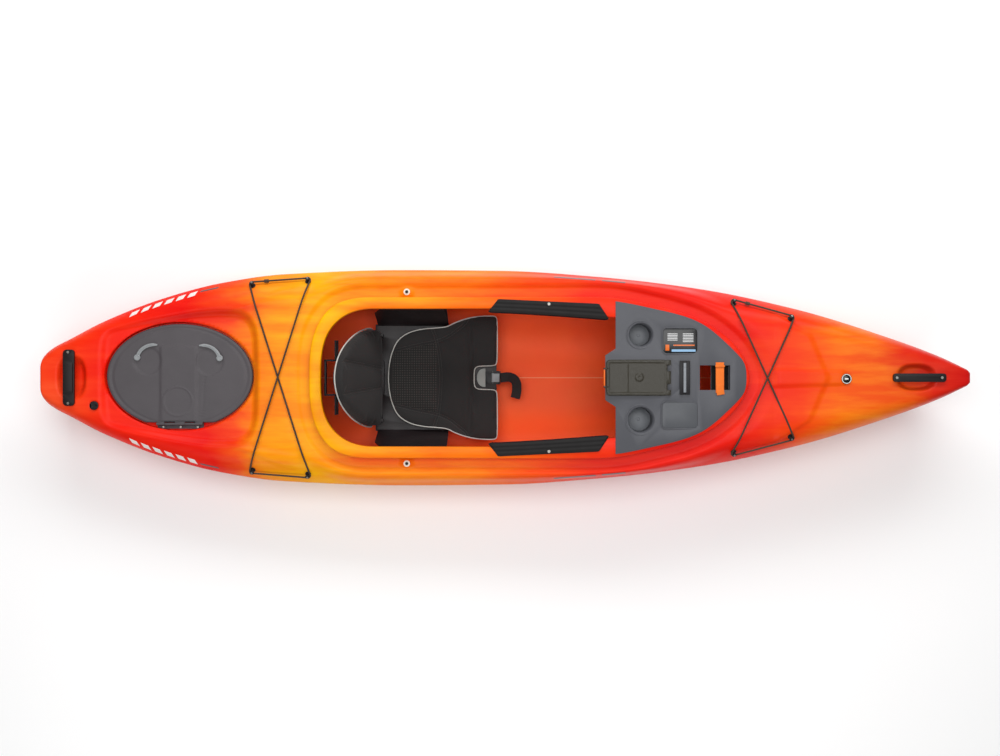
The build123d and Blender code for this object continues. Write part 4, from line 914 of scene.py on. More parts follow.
def lid_height(x, y):
    """Top of the lid: raised middle panel, half-moon finger wells, ring and panel lines."""
    z = np.full(np.shape(x), LID_TOP)
    px = np.abs(x - (HATCH_X - 4)) - 66
    py = np.maximum(y - 112, -400)
    z += 2.6 * rise(0, 7, -np.maximum(px, py))
    for cx, cy, side in LEVER_PIVOTS:
        wx, wy = cx + side * 35, cy - 12
        r = np.hypot(x - wx, y - wy)
        z -= 1.6 * (1 - rise(44, 50, r))
    ring = np.abs(np.hypot(x - (HATCH_X - 6), y + 82) - 50)
    z += 1.0 * (1 - rise(1.2, 3.0, ring))
    gx, gy = (x - HATCH_X) / HATCH_A, (y - HATCH_Y) / HATCH_B
    r = np.hypot(gx, gy)
    z -= 1.4 * (1 - rise(0.008, 0.02, np.abs(r - 0.925)))
    z -= 1.0 * (1 - rise(0.8, 2.2, np.abs(x - (HATCH_X + 86) - 0.06 * (y + 2)))) * (y < 4) * (y > -148)
    return z


def hatch_lid():
    count = 200
    t = np.linspace(0, 2 * math.pi, count, endpoint=False)
    cut = (HINGE_Y + 5 - HATCH_Y) / (HATCH_B * np.minimum(np.sin(t), -1e-6))
    reach = np.where(np.sin(t) < 0, np.minimum(1.0, cut), 1.0)
    ex, ey = HATCH_A * np.cos(t) * reach, HATCH_B * np.sin(t) * reach
    size = np.hypot(ex, ey)
    verts = []
    for i in range(count):
        column = []
        for share in np.linspace(0, 1, 52):
            r = share * (size[i] - 7)
            x, y = HATCH_X + ex[i] / size[i] * r, HATCH_Y + ey[i] / size[i] * r
            column.append((x, y, None))
        hinge_side = t[i] > math.pi and reach[i] < 0.999
        low = 252 if hinge_side else 245
        for back, z in ((4.0, LID_TOP - 0.4), (1.4, LID_TOP - 2.0), (0.0, LID_TOP - 5.0), (0.0, low),
                        (3.0, low), (3.2, LID_UNDER - 0.2), (30, LID_UNDER)):
            r = size[i] - back
            column.append((HATCH_X + ex[i] / size[i] * r, HATCH_Y + ey[i] / size[i] * r, z))
        column.append((HATCH_X, HATCH_Y, LID_UNDER))
        verts += column
    k = len(verts) // count
    v = np.array([(a, b, 0 if c is None else c) for a, b, c in verts], float)
    top = np.array([c is None for _, _, c in verts])
    v[top, 2] = lid_height(v[top, 0], v[top, 1])
    faces = [(i * k + j, i * k + j + 1, ((i + 1) % count) * k + j + 1, ((i + 1) % count) * k + j)
             for i in range(count) for j in range(k - 1)]
    parts = [(v, faces)]
    for a, b in list(zip(HINGE_MARKS, HINGE_MARKS[1:]))[::2]:
        x0, x1 = HATCH_X + a + 0.3, HATCH_X + b - 0.3
        parts.append(swept([(x0, HINGE_Y, HINGE_Z), (x1, HINGE_Y, HINGE_Z)], round_section(HINGE_R, 20)))
        parts.append(block(x0, x1, HINGE_Y, HINGE_Y + 9, LID_UNDER + 1, LID_TOP, 0.8))
    return sharpen(piece("hatch_lid_shell", *merge(*parts), LID_GREY, "hatch_lid", True, ("hatch_lid",)), 50)


def hatch_lever(name, place):
    """Curved turning lever with a round hub and a thumb rib."""
    x, y, side = place
    t = np.linspace(0, 1, 24)
    turn = np.radians(172 - 94 * t)
    path = [(side * (58 + 58 * math.cos(a)), 52 * math.sin(a) - 8, 3.2) for a in turn]
    width = np.stack([np.interp(t, [0, 0.2, 0.85, 1], [1.1, 1.0, 0.85, 0.4]), np.ones(24)], 1)
    arm = swept(path, soft_box_section(13, 5.0, 2.2, 4), scale=width)
    rib = swept([(a, b, 5.4) for a, b, _ in path[3:20]], soft_box_section(2.4, 3.2, 1.1, 3))
    hub = lathe([(0, 0.3), (10.4, 0.3), (11, 0.9), (11, 5.6), (10, 6.8), (7, 7.2), (6.2, 6.2), (0, 6.0)],
                0, 0, 40)
    pin = lathe([(0, -9), (2.9, -9), (2.9, 1), (0, 1)], 0, 0, 24)
    verts, faces = merge(arm, rib, hub, pin)
    verts += (x, y, LID_TOP + 0.1)
    return sharpen(piece(name + "_curved", verts, faces, LEVER_GREY, name, True, (name,)), 40)


hatch_lid()
hatch_lever("hatch_latch_aft", LEVER_PIVOTS[0])
hatch_lever("hatch_latch_fore", LEVER_PIVOTS[1])

# ---------------------------------------------------------------- fittings drawn fair from the CAD parts

FAIR = [
    ("bow_handle", HANDLE_BLACK, "hull", 1.6), ("stern_handle", HANDLE_BLACK, "hull", 1.6),
    ("deck_fittings", BLACK, "hull", 0.8), ("hatch_hinge_base", LID_GREY, "hull", 0.5),
    ("seat_pan", SEAT_BLACK, "hull", 0.9),
    ("dashboard", DASH_GREY, "dashboard", 1.0), ("accessory_track", BLACK, "dashboard", 0.6),
    ("tray_plate_starboard", TRAY_GREY, "dashboard", 0.8), ("tray_plate_port", LABEL, "dashboard", 0.5),
    ("pocket_strap", STRAP, "dashboard", 0.7),
    ("box_latch", ORANGE, "box_latch", 0.7), ("brace_rail_port", RAIL, "hull", 0.6),
    ("brace_rail_starboard", RAIL, "hull", 0.6), ("brace_pads", SEAL, "hull", 1.0),
    ("pedal_port", BLACK, "pedal_port", 1.0), ("pedal_starboard", BLACK, "pedal_starboard", 1.0),
    ("pedal_trigger_port", ORANGE, "pedal_trigger_port", 0.5),
    ("pedal_trigger_starboard", ORANGE, "pedal_trigger_starboard", 0.5),
    ("cam_buckle", BLACK, "leg_lifter", 0.8), ("cam_lever", LEVER_GREY, "cam_lever", 0.8),
    ("leg_lifter", SEAT_BLACK, "leg_lifter", 1.2), ("drain_plug", BLACK, "drain_plug", 0.7),
    ("seat_blocks", FOAM, "hull", 3.0), ("stern_bulkhead", FOAM, "hull", 2.0),
    ("bow_pillar", FOAM, "hull", 4.0),
]
for node, material, body, width in FAIR:
    softened(node, material, body, width)


FLANGE_SIDE, FLANGE_FOOT = 244.0, 240.0


def hang_flanges(obj):
    """Lets the flanges of the seat pan follow the channel pressed in the deck above them."""
    for vertex in obj.data.vertices:
        x, y, z = vertex.co / MM
        if abs(y) > FLANGE_SIDE and z > FLANGE_FOOT:
            vertex.co.z += float(min(0, channel_floor(x) - plain_deck(x, y))) * MM


hang_flanges(bpy.data.objects["seat_pan_fair"])

PLAIN = {
    "lift_tail": WEB, "hatch_seal": SEAL, "box_seal": SEAL, "drain_seal": SEAL,
    "bow_bungee": CORD, "stern_bungee": CORD, "handle_screws": STEEL, "fitting_screws": STEEL,
    "hatch_hinge_screws": STEEL, "hatch_hinge_pin": STEEL, "thigh_pad_screws": STEEL, "seat_bolts": BLACK,
    "seat_washers": WASHER, "seat_nuts": STEEL, "lifter_pins": STEEL, "cam_pin": STEEL, "back_pins": STEEL,
    "back_rivets": STEEL, "box_hinge_pin": STEEL, "box_latch_pin": STEEL, "track_screws": STEEL,
    "brace_screws": STEEL,
}
for node, material in PLAIN.items():
    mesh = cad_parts[node].data
    mesh.materials.clear()
    mesh.materials.append(material)

# ---------------------------------------------------------------- thigh pads


def thigh_pad(side):
    """Ribbed pad lying over the coaming, its inner edge wrapped down."""
    name = "thigh_pad_port" if side > 0 else "thigh_pad_starboard"
    x = np.concatenate([np.linspace(-47, -35, 9), np.linspace(-30, 345, 34), np.linspace(350, 362, 9)])
    along = (x + 47) / 409
    outer, inner = 269 - 18 * along, 223 - 27 * along ** 1.3
    taper = np.minimum(1, np.minimum(x + 47, 362 - x) / 14)
    full = 0.35 + 0.65 * np.sqrt(np.clip(1 - (1 - taper) ** 2, 0, 1))
    middle = (outer + inner) / 2
    narrow = 0.72 + 0.28 * full
    outer, inner = middle + (outer - middle) * narrow, middle + (inner - middle) * narrow
    verts = []
    for i, xi in enumerate(x):
        w = outer[i] - inner[i]
        rim = float(rim_z(xi))
        down = 30 * min(1.0, taper[i] * 1.2) + 1
        row = [(outer[i], 0.4), (outer[i] + 0.2, 2.2), (outer[i] - 1.5, 4.2 * full[i])]
        for s in np.linspace(0.06, 0.93, 37):
            row.append((outer[i] - w * s, full[i] * (5.6 - 0.8 * math.cos(6 * math.pi * (s - 0.06) / 0.87))))
        row += [(inner[i] + 0.6, 2.6 * full[i]), (inner[i] - 0.8, -3), (inner[i] - 0.4, -down),
                (inner[i] + 2.6, -down), (inner[i] + 5, -3), (inner[i] + 7, 0.4)]
        cut = [30 * min(1.0, max(0.0, (a - inner[i]) / (outer[i] - inner[i]))) for a, b in row]
        verts += [(157.5 + (xi - 157.5) * (1 - c / 204.5), side * a, rim + b) for (a, b), c in zip(row, cut)]
    k, n = len(row), len(x)
    faces = [(i * k + j, i * k + (j + 1) % k, (i + 1) * k + (j + 1) % k, (i + 1) * k + j)
             for i in range(n - 1) for j in range(k)]
    faces += [tuple(range(k)), tuple((n - 1) * k + j for j in reversed(range(k)))]
    obj = piece(name + "_ribbed", verts, faces, PAD_BLACK, "hull", True, (name,))
    return sharpen(obj, 50)


thigh_pad(1)
thigh_pad(-1)

# ---------------------------------------------------------------- seat cushion and back pad


def outline_solid(loop, low, high):
    n = len(loop)
    verts = [(x, y, low) for x, y in loop] + [(x, y, high) for x, y in loop]
    faces = [tuple(reversed(range(n))), tuple(range(n, 2 * n))]
    faces += [(i, (i + 1) % n, n + (i + 1) % n, n + i) for i in range(n)]
    return verts, faces


def blown(name, solid, seams, cap, voxel, seam_depth, materials):
    """Padded form made by cloth under pressure, held down along its seams. Works in a level frame, in mm."""
    mesh = bpy.data.meshes.new(name)
    mesh.from_pydata([tuple(v) for v in np.asarray(solid[0], float) * MM], [], solid[1])
    obj = bpy.data.objects.new(name, mesh)
    bpy.context.scene.collection.objects.link(obj)
    mod = obj.modifiers.new("remesh", "REMESH")
    mod.mode = "VOXEL"
    mod.voxel_size = voxel * MM
    bpy.context.view_layer.update()
    mesh = bpy.data.meshes.new_from_object(obj.evaluated_get(bpy.context.evaluated_depsgraph_get()))
    obj.modifiers.clear()
    obj.data = mesh
    co = np.array([v.co for v in mesh.vertices]) / MM
    away = np.full(len(co), 1e9)
    for line in seams:
        for a, b in zip(line[:-1], line[1:]):
            a, b = np.array(a, float), np.array(b, float)
            t = np.clip(((co[:, :2] - a) @ (b - a)) / ((b - a) @ (b - a)), 0, 1)
            away = np.minimum(away, np.linalg.norm(co[:, :2] - a - t[:, None] * (b - a), axis=1))
    mid = (co[:, 2].min() + co[:, 2].max()) / 2
    on_face = co[:, 2] > mid
    held = (away < voxel * 0.95) & on_face
    start = co.copy()
    co[:, 2] -= np.where(on_face, seam_depth * np.exp(-(away / 9.0) ** 2), 0)
    for v, c in zip(mesh.vertices, co):
        v.co = Vector(c) * MM
    group = obj.vertex_groups.new(name="held")
    group.add([int(i) for i in np.nonzero(held | (start[:, 2] < mid - 8))[0]], 1.0, "REPLACE")
    cloth = obj.modifiers.new("cloth", "CLOTH")
    s = cloth.settings
    s.use_pressure = True
    s.uniform_pressure_force = 4.0
    s.effector_weights.gravity = 0
    s.vertex_group_mass = "held"
    s.tension_stiffness = s.compression_stiffness = 12
    s.quality = 4
    cloth.collision_settings.use_self_collision = False
    cloth.collision_settings.use_collision = False
    scene = bpy.context.scene
    for f in range(1, 21):
        scene.frame_set(f)
    done = bpy.data.meshes.new_from_object(obj.evaluated_get(bpy.context.evaluated_depsgraph_get()))
    after = np.array([v.co for v in done.vertices]) / MM
    scene.frame_set(1)
    step = after - co
    length = np.linalg.norm(step, axis=1)
    soft = cap * np.tanh(length / cap) / np.maximum(length, 1e-9)
    co = co + step * soft[:, None]
    obj.modifiers.clear()
    sub = obj.modifiers.new("smooth", "SUBSURF")
    sub.levels = sub.render_levels = 1
    for v, c in zip(mesh.vertices, co):
        v.co = Vector(c) * MM
    bpy.context.view_layer.update()
    made = bpy.data.meshes.new_from_object(obj.evaluated_get(bpy.context.evaluated_depsgraph_get()))
    bpy.data.objects.remove(obj)
    made.materials.clear()
    for material in materials:
        made.materials.append(material)
    made.name = name
    return made


HALF_CUSHION = [(-411, 0), (-409, 40), (-399, 92), (-377, 138), (-338, 165), (-289, 178), (-228, 182),
                (-196, 186), (-174, 199), (-125, 217), (-75, 224), (-30, 225), (-20, 221), (-15, 210),
                (-14, 140), (-15, 56),
                (-20, 44), (-32, 40), (-80, 39), (-92, 36), (-97, 28), (-98, 0)]
CUSHION_LINE = port_and_starboard(np.array(HALF_CUSHION, float))
SIDE_SEAM = [(-396, 95), (-300, 119), (-235, 130), (-188, 150), (-163, 171), (-142, 186), (-128, 200),
             (-122, 216)]
CROSS_SEAM = [(-252, 178), (-235, 137), (-224, 70), (-219, 9), (-222, -70), (-228, -128), (-245, -178)]


def draped(mesh, line, lift, pitch=4.0):
    """Points along a line, laid on the top of a mesh."""
    tree = BVHTree.FromPolygons([v.co for v in mesh.vertices], [tuple(p.vertices) for p in mesh.polygons])
    p = np.array(line, float)
    gone = np.concatenate([[0], np.cumsum(np.linalg.norm(np.diff(p, axis=0), axis=1))])
    q = np.arange(0, gone[-1] + pitch / 2, pitch)
    points, high = [], None
    for x, y in zip(np.interp(q, gone, p[:, 0]), np.interp(q, gone, p[:, 1])):
        hit = tree.ray_cast(Vector((x, y, 400)) * MM, Vector((0, 0, -1)))[0]
        high = hit.z / MM if hit else high
        if high is not None:
            points.append((x, y, high + lift))
    points = np.array(points)
    z = points[:, 2].copy()
    for _ in range(2):
        z[1:-1] = (z[:-2] + z[1:-1] + z[2:]) / 3
    points[:, 2] = z
    return points


def stitch_tree():
    """Geometry nodes that lay thread stitches along a curve."""
    tree = bpy.data.node_groups.new("stitch_row", "GeometryNodeTree")
    face = tree.interface
    face.new_socket("Curve", in_out="INPUT", socket_type="NodeSocketGeometry")
    sizes = {"Pitch": 0.0045, "Stitch Length": 0.0032, "Thread Radius": 0.00045}
    for name, value in sizes.items():
        face.new_socket(name, in_out="INPUT", socket_type="NodeSocketFloat").default_value = value
    face.new_socket("Thread", in_out="INPUT", socket_type="NodeSocketMaterial").default_value = THREAD
    face.new_socket("Stitches", in_out="OUTPUT", socket_type="NodeSocketGeometry")
    given = add(tree, "NodeGroupInput").node.outputs
    points = add(tree, "GeometryNodeCurveToPoints", mode="LENGTH", Curve=given["Curve"], Length=given["Pitch"])
    thread = add(tree, "GeometryNodeMeshCylinder", Vertices=6, Depth=given["Stitch Length"],
                 Radius=given["Thread Radius"])
    placed = add(tree, "GeometryNodeInstanceOnPoints", Points=points, Rotation=points.node.outputs["Rotation"],
                 Instance=thread)
    real = add(tree, "GeometryNodeRealizeInstances", Geometry=placed)
    add(tree, "NodeGroupOutput", add(tree, "GeometryNodeSetMaterial", Geometry=real, Material=given["Thread"]))
    return tree


STITCHES = stitch_tree()


def stitched(name, lines):
    """One mesh of stitches along lines given in millimetres."""
    data = bpy.data.curves.new(name, "CURVE")
    data.dimensions = "3D"
    for line in lines:
        s = data.splines.new("POLY")
        s.points.add(len(line) - 1)
        for p, c in zip(s.points, line):
            p.co = (*(Vector(c) * MM), 1)
    holder = bpy.data.objects.new(name, data)
    bpy.context.scene.collection.objects.link(holder)
    holder.modifiers.new("stitches", "NODES").node_group = STITCHES
    bpy.context.view_layer.update()
    mesh = bpy.data.meshes.new_from_object(holder.evaluated_get(bpy.context.evaluated_depsgraph_get()))
    bpy.data.objects.remove(holder)
    mesh.name = name
    return mesh


def beside(line, away):
    """The line moved sideways."""
    p = np.array(line, float)
    d = np.gradient(p, axis=0)
    d /= np.linalg.norm(d, axis=1)[:, None]
    return p + away * np.stack([-d[:, 1], d[:, 0]], 1)


def even(points, pitch, closed=False):
    p = np.array(points, float)
    if closed:
        p = np.vstack([p, p[:1]])
    gone = np.concatenate([[0], np.cumsum(np.linalg.norm(np.diff(p, axis=0), axis=1))])
    q = np.linspace(0, gone[-1], max(3, int(gone[-1] / pitch)))
    return np.stack([np.interp(q, gone, p[:, k]) for k in range(p.shape[1])], 1)


def rounded(points, times=3, closed=True):
    """Corner cutting, which turns a coarse outline into a smooth one."""
    p = np.array(points, float)
    for _ in range(times):
        q = np.roll(p, -1, 0) if closed else p[1:]
        a = p if closed else p[:-1]
        p2 = np.stack([0.75 * a + 0.25 * q, 0.25 * a + 0.75 * q], 1).reshape(-1, p.shape[1])
        p = p2 if closed else np.vstack([p[:1], p2, p[-1:]])
    return p


def hinged(obj):
    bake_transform(obj)
    return obj


def seat_cushion():
    outline = rounded(CUSHION_LINE, 2)
    side = rounded(SIDE_SEAM, 2, False)
    cross = rounded(CROSS_SEAM, 2, False)
    seams = [side, side * (1, -1), cross]
    made = blown("seat_cushion", outline_solid(outline, 79.2, 93), seams, 9, 5, 5, [CLOTH, MESH_CLOTH])
    for p in made.polygons:
        x, y = p.center.x / MM, p.center.y / MM
        edge = np.interp(x, [-396, -300, -235], [88, 113, 124])
        p.material_index = int(-392 < x < -236 and abs(y) < edge and p.normal.z > 0.2)
    rows = [draped(made, beside(line, away), 0.25) for line in seams for away in (4.5, -4.5)]
    welt = draped(made, even(outline_inset(outline, 3.0), 5.0, True), 0.2, 5.0)
    obj = finish("seat_cushion", made, None, True, ("seat_cushion_rear", "seat_cushion_front"))
    hinged(obj)
    tube = swept(welt[:-1], round_section(2.1, 8), closed=True)
    hinged(piece("seat_piping", *tube, PIPING, None))
    hinged(finish("seat_stitches", stitched("seat_stitches", rows), None))


def outline_inset(loop, by):
    """Closed outline, counter-clockwise or not, drawn in by a distance."""
    p = np.array(loop, float)
    d = np.roll(p, -1, 0) - np.roll(p, 1, 0)
    d /= np.linalg.norm(d, axis=1)[:, None] + 1e-9
    n = np.stack([-d[:, 1], d[:, 0]], 1)
    area = 0.5 * np.sum(p[:, 0] * np.roll(p[:, 1], -1) - np.roll(p[:, 0], -1) * p[:, 1])
    return p + n * by * (1 if area > 0 else -1)


seat_cushion()

LEAN = Matrix.Translation(Vector((-440, 0, 86))) @ Matrix.Rotation(math.radians(-22.5), 4, "Y")
LEAN = LEAN @ Matrix(((0, 0, 1, 0), (0, 1, 0, 0), (1, 0, 0, 0), (0, 0, 0, 1)))
D_SHAPE = [(30, 0), (30, 120), (33, 150), (45, 167), (70, 174), (110, 170), (161, 157), (210, 138), (258, 110),
           (295, 78), (318, 42), (328, 0)]


def leaned(mesh):
    """From the level working frame, x up the back and z out of its face, to the backrest's place."""
    for v in mesh.vertices:
        v.co = (LEAN @ (v.co / MM)) * MM
    return mesh


def leaned_piece(name, solid, material, body, stands_for=()):
    v = [tuple(LEAN @ Vector(c)) for c in np.asarray(solid[0], float)]
    return sharpen(piece(name, v, solid[1], material, body, True, stands_for), 40)


def back_pad():
    loop = rounded(port_and_starboard(np.array(D_SHAPE, float)), 2)
    seams = [np.array([(326, 57), (180, 46), (32, 33)], float),
             np.array([(326, -54), (180, -44), (32, -32)], float)]
    made = blown("back_pad_cushion", outline_solid(loop, 0, 30), seams, 7, 5.5, 6, [CLOTH, MESH_CLOTH])
    rows = [draped(made, beside(line, away), 0.25) for line in seams for away in (4.5, -4.5)]
    obj = finish("back_pad_cushion", leaned(made), "back_pad", True, ("back_pad",))
    finish("back_pad_stitches", leaned(stitched("back_pad_stitches", rows)), "back_pad")
    arc = [p for p in even(outline_inset(loop, -1.5), 6, True) if p[0] > 60]
    start = max(range(len(arc)), key=lambda i: np.linalg.norm(arc[i] - arc[i - 1]))
    arc = arc[start:] + arc[:start]
    path = [(a, b, 1.5) for a, b in arc]
    leaned_piece("back_pad_piping", swept(path, round_section(2.4, 8)), PIPING, "back_pad")


def back_frame():
    """Arched plate behind the pad with its side arms and grab loop."""
    half = np.array([(a - 6 if a > 200 else a, b * 0.9) for a, b in D_SHAPE], float)
    parts = [outline_solid(rounded(port_and_starboard(half), 2), -8, -4)]
    for side in (1, -1):
        parts.append(block(289, 312, min(side * 55, side * 126), max(side * 55, side * 126), -8, -4, 2))
        parts.append(block(-9, 22, side * 143 - 3, side * 143 + 3, -8, 8, 1))
        parts.append(block(20, 110, side * 143 - 3, side * 143 + 3, -8, -4, 1))
        parts.append(block(318, 328, side * 58 - 3, side * 58 + 3, -38, -6, 1))
        parts.append(block(300, 328, side * 58 - 3, side * 58 + 3, -12, -4, 1))
    parts.append(block(318, 328, -61, 61, -38, -32, 1.5))
    leaned_piece("back_frame_plate", merge(*parts), BLACK, "backrest", ("back_frame",))


back_pad()
back_frame()

# ---------------------------------------------------------------- dashboard details

DASH_RISE = 4.3
BOX_TOP = float(rim_z(562.0)) + DASH_RISE + 3.0


def rectangle_distance(x, y, x0, x1, y0, y1, r):
    """Distance inside a rounded rectangle, positive inward."""
    qx = np.abs(x - (x0 + x1) / 2) - (x1 - x0) / 2 + r
    qy = np.abs(y - (y0 + y1) / 2) - (y1 - y0) / 2 + r
    return r - np.hypot(np.maximum(qx, 0), np.maximum(qy, 0)) - np.minimum(np.maximum(qx, qy), 0)


def pressed_sheet(x0, x1, y0, y1, r, top, low, pitch):
    """Sheet with rounded corners whose top follows a height function."""
    gx, gy = np.meshgrid(np.linspace(x0, x1, int((x1 - x0) / pitch)),
                         np.linspace(y0, y1, int((y1 - y0) / pitch)), indexing="ij")
    cx, cy = (gx[:-1, :-1] + gx[1:, 1:]) / 2, (gy[:-1, :-1] + gy[1:, 1:]) / 2
    keep = rectangle_distance(cx, cy, x0, x1, y0, y1, r) > 0
    loop = np.array(loop_box(x0, x1, y0, y1, r, 10))

    def upper(a, b, on):
        return np.stack([a, b, top(a, b)], 1)

    def lower(a, b, on):
        return np.stack([a, b, np.full(a.shape, low)], 1)

    verts, faces, _ = grid_solid(gx, gy, keep, [loop], upper, lower)
    return verts, faces


def dry_box_lid():
    """Smoke-tinted lid with a raised frame, a domed boss, a pressed rib, hinge knuckles and a latch lip."""
    x0, x1, half = 352.0, 560.0, 61.0

    def top(x, y):
        inside = rectangle_distance(x, y, x0, x1, -half, half, 14)
        z = BOX_TOP + 3.0 * rise(0, 3, inside)
        z = z - 1.4 * rise(9, 12, inside)
        z = z + 1.3 * (1 - rise(1.0, 2.4, np.abs(x - 425))) * (inside > 12)
        r = np.hypot(x - 464, y - 2)
        z = z + 2.2 * (1 - rise(11, 16, r)) - 1.0 * (1 - rise(2, 4, r))
        return z

    parts = [pressed_sheet(x0, x1, -half, half, 14, top, BOX_TOP + 0.1, 1.6)]
    hinge_x, hinge_z = 568.0, BOX_TOP + 2
    for y0, y1 in ((-22, 22), (-60, -42), (42, 60)):
        knuckle = [(hinge_x, y0, hinge_z), (hinge_x, y1, hinge_z)]
        parts.append(swept(knuckle, round_section(3.4, 16), up=(1, 0, 0)))
        parts.append(block(x1 - 8, hinge_x, y0, y1, BOX_TOP + 0.5, BOX_TOP + 2.9, 0.8))
    for y in (-31, 31):
        parts.append(block(343, 362, y - 2.5, y + 2.5, BOX_TOP - 1, BOX_TOP + 3, 0.8))
    sharpen(piece("dry_box_lid", *merge(*parts), SMOKE, "box_lid", True, ("box_lid",)), 40)


def cup_details():
    """Raised collar, floor painted lighter than the dashboard as painted light against the shade of the deep
    cup, and moulded boss of each cup holder.
    """
    top = float(rim_z(469.5)) + DASH_RISE
    for name, x, y, rim, floor in (("port", 469.5, 145.6, 46.0, 38.0),
                                   ("starboard", 469.5, -143.0, 50.0, 42.0)):
        collar = lathe([(rim - 1, top - 0.6), (rim + 3.5, top - 0.6), (rim + 3.5, top + 0.4),
                        (rim + 2.2, top + 1.2), (rim + 0.6, top + 1.2), (rim - 0.6, top + 0.5)], x, y, 72)
        sharpen(piece("cup_collar_" + name, *collar, DASH_GREY, "dashboard"), 40)
        z = top - 78
        disc = lathe([(0, z + 0.1), (floor - 1, z + 0.1), (floor - 1, z + 1.0), (floor - 3, z + 2.4),
                      (6, z + 2.8), (4.5, z + 4.6), (2, z + 5.0), (0, z + 5.0)], x, y, 64)
        # the floor's pale grey is painted light, against the shade at the bottom of the cup
        sharpen(piece("cup_floor_" + name, *disc, PALE_GREY_AND_CUP_FLOOR_PAINTED_LIGHT, "dashboard"), 40)


def tray_rib():
    """Shallow pressed frame round each tray."""
    for name, x, y, length, width in (("port", 603.0, 125.0, 116.0, 84.0),
                                      ("starboard", 602.0, -127.0, 120.0, 88.0)):
        z = float(rim_z(x)) + DASH_RISE
        a, b = length / 2 + 3, width / 2 + 3
        path = [(px, py, z) for px, py in loop_box(x - a, x + a, y - b, y + b, 16, 8)]
        frame_bar = swept(path, soft_box_section(3.2, 1.6, 0.7, 3), closed=True)
        piece("tray_frame_" + name, *frame_bar, DASH_GREY, "dashboard")


def track_insert():
    """Sliding nut channel in the accessory track."""
    z = float(rim_z(618.0)) + DASH_RISE
    parts = [block(613.5, 622.5, -50, 50, z + 5.6, z + 7.1, 0.6)]
    for y in (-40, 0, 40):
        parts.append(block(615.5, 620.5, y - 6, y + 6, z + 6.6, z + 7.6, 0.5))
    sharpen(piece("track_channel", *merge(*parts), PALE_GREY_AND_CUP_FLOOR_PAINTED_LIGHT, "dashboard"), 40)


def pocket_details():
    """Dark sheet laid in the pocket as painted shade, and the folded end of its strap."""
    z = float(rim_z(720.0))
    # painted shade: a black sheet on the pocket floor, where the pocket lies in shade
    shade_sheet = block(713, 770.5, -40.5, 40.5, z - 26.6, z - 25.4, 0.5)
    piece("pocket_painted_shade_sheet", *shade_sheet, SEAL, "dashboard")
    end = [(737 + 3 * s, -40 - 18 * s, z + DASH_RISE + 5.4 - 2.6 * s * s) for s in np.linspace(0, 1, 10)]
    fold = swept(end, soft_box_section(26, 1.8, 0.8, 3))
    bar = block(721, 753, 36, 42, z + DASH_RISE + 4.2, z + DASH_RISE + 6.4, 0.8)
    piece("pocket_strap_end", *merge(fold, bar), STRAP, "dashboard")


dry_box_lid()
cup_details()
tray_rib()
track_insert()
pocket_details()

# ---------------------------------------------------------------- webbing in front of the seat


def seat_webbing():
    """Pull tab behind the buckle and the loose end of the strap in front of it."""
    arc = np.radians(np.linspace(90, 270, 24))
    tab = [(-66 + 25 * math.cos(a), 33 * math.sin(a)) for a in arc] + [(-60, -33), (-60, 33)]
    plate("pull_tab", tab, 74.8, 77.4, 0.8, TAB_WEB, "leg_lifter", stands_for=("lift_strap",))
    path = spline([(-6, 0), (26, 2), (47, -10), (53, -34), (47, -74)], (1, 0), (-0.3, -1), 40)
    high = np.interp(np.linspace(0, 1, 40), [0, 0.2, 0.45, 0.7, 1], [86.5, 86, 72, 62, 58])
    end = swept([(x, y, z) for (x, y), z in zip(path, high)], soft_box_section(34, 1.8, 0.8, 3))
    piece("strap_loose_end", *end, WEB, "leg_lifter", True, ("lift_tail",))


seat_webbing()


# ---------------------------------------------------------------- badge and decals


def badge():
    """Domed round badge with a plain ring and bar."""
    x, y, r = 1170.0, -4.0, 17.5
    t = np.linspace(0, 2 * math.pi, 24, endpoint=False)
    high = deck(x + r * np.cos(t), y + r * np.sin(t))
    z, low = float(high.max()), float(high.min()) - 1
    disc = lathe([(0, low), (r, low), (r, z + 0.6), (r - 1, z + 1.3), (0, z + 1.6)], x, y, 48)
    sharpen(piece("bow_badge", *disc, BADGE_BLACK, "hull"), 40)
    ring = lathe([(r - 3.2, z + 1.0), (r - 1.6, z + 1.0), (r - 1.6, z + 1.75), (r - 3.2, z + 1.75)], x, y, 48)
    bar = block(x - 6, x + 6, y - 2.2, y + 2.2, z + 1.0, z + 1.9, 0.6)
    sharpen(piece("bow_badge_ring", *merge(ring, bar), BADGE_WHITE, "hull"), 40)


def decal(corners, count):
    """Thin film lying on the deck, between four corners given as (x, y)."""
    (ax, ay), (bx, by), (cx, cy), (dx, dy) = corners
    s, t = np.meshgrid(np.linspace(0, 1, count[0]), np.linspace(0, 1, count[1]), indexing="ij")
    x = (ax * (1 - s) + bx * s) * (1 - t) + (dx * (1 - s) + cx * s) * t
    y = (ay * (1 - s) + by * s) * (1 - t) + (dy * (1 - s) + cy * s) * t
    z = deck(x, y)

    def top(a, b, on):
        return np.stack([a, b, z[on] + 0.5], 1)

    def low(a, b, on):
        return np.stack([a, b, z[on] - 0.8], 1)

    verts, faces, _ = grid_solid(x, y, np.ones((count[0] - 1, count[1] - 1), bool), [], top, low)
    return verts, faces


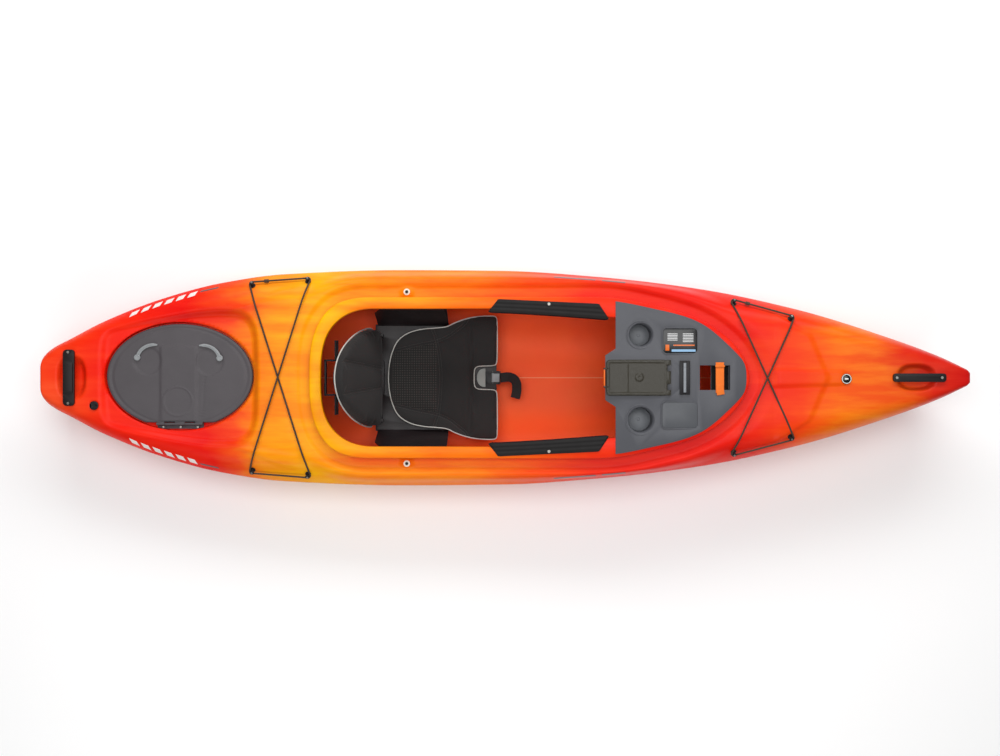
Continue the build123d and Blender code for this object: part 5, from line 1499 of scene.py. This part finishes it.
def side_decals():
    """Plain slanted bars in place of lettering."""
    pale, dark = [], []
    for side in (1, -1):
        for k in range(6):
            x = -1292 + 40 * k
            edge = half_breadth(np.array([x, x + 30.0]))
            low, high = edge - 27, edge - 10
            corners = [(x, side * low[0]), (x + 26, side * low[1]), (x + 34, side * high[1]),
                       (x + 8, side * high[0])]
            pale.append(decal(corners, (12, 8)))
        for x0, x1, away in ((-1050, -988, 12), (176, 318, 14), (340, 420, 14)):
            edge = half_breadth(np.array([x0, x1], float))
            corners = [(x0, side * (edge[0] - away - 6)), (x1, side * (edge[1] - away - 6)),
                       (x1 + 5, side * (edge[1] - away)), (x0 + 5, side * (edge[0] - away))]
            dark.append(decal(corners, (40, 4)))
    piece("stern_side_bars", *merge(*pale), DECAL, "hull")
    piece("side_rules", *merge(*dark), DECAL_DARK, "hull")


badge()
side_decals()

# ---------------------------------------------------------------- camera, light and floor


def area_light(name, place, aim, size, power):
    data = bpy.data.lights.new(name, "AREA")
    data.shape, data.size, data.size_y = "RECTANGLE", size[0], size[1]
    data.energy = power
    obj = bpy.data.objects.new(name, data)
    obj.location = place
    obj.rotation_euler = (Vector(aim) - Vector(place)).to_track_quat("-Z", "Y").to_euler()
    bpy.context.scene.collection.objects.link(obj)
    return obj


def studio():
    scene = bpy.context.scene
    scene.view_settings.view_transform = "Standard"
    camera = bpy.data.objects.new("camera", bpy.data.cameras.new("camera"))
    camera.location = (-0.0077, -0.001, 4.78)
    camera.data.lens, camera.data.sensor_width = 47.05, 36.0
    scene.collection.objects.link(camera)
    scene.camera = camera
    floor = bpy.data.meshes.new("floor")
    floor.from_pydata([(-9, -9, 0), (9, -9, 0), (9, 9, 0), (-9, 9, 0)], [], [(0, 1, 2, 3)])
    # paper: white, and matt enough to show no highlight
    paper = new_material("seamless_white_paper")[0]
    floor.materials.append(surface(paper, Roughness=0.9, Base_Color=(0.96, 0.96, 0.96, 1)))
    ground = bpy.data.objects.new("floor", floor)
    scene.collection.objects.link(ground)
    lights = [
        area_light("key", (0.3, 3.4, 2.6), (0, 0, 0.2), (5.0, 1.4), 140),
        area_light("overhead", (0, 0.6, 5.6), (0, 0, 0), (6.0, 3.0), 182),
        area_light("rim", (-0.4, -3.0, 2.4), (0, 0, 0.2), (4.0, 0.6), 40),
    ]
    world = bpy.data.worlds.new("studio")
    world.use_nodes = True
    world.node_tree.nodes["Background"].inputs["Color"].default_value = (1, 1, 1, 1)
    world.node_tree.nodes["Background"].inputs["Strength"].default_value = 0.24
    scene.world = world


studio()
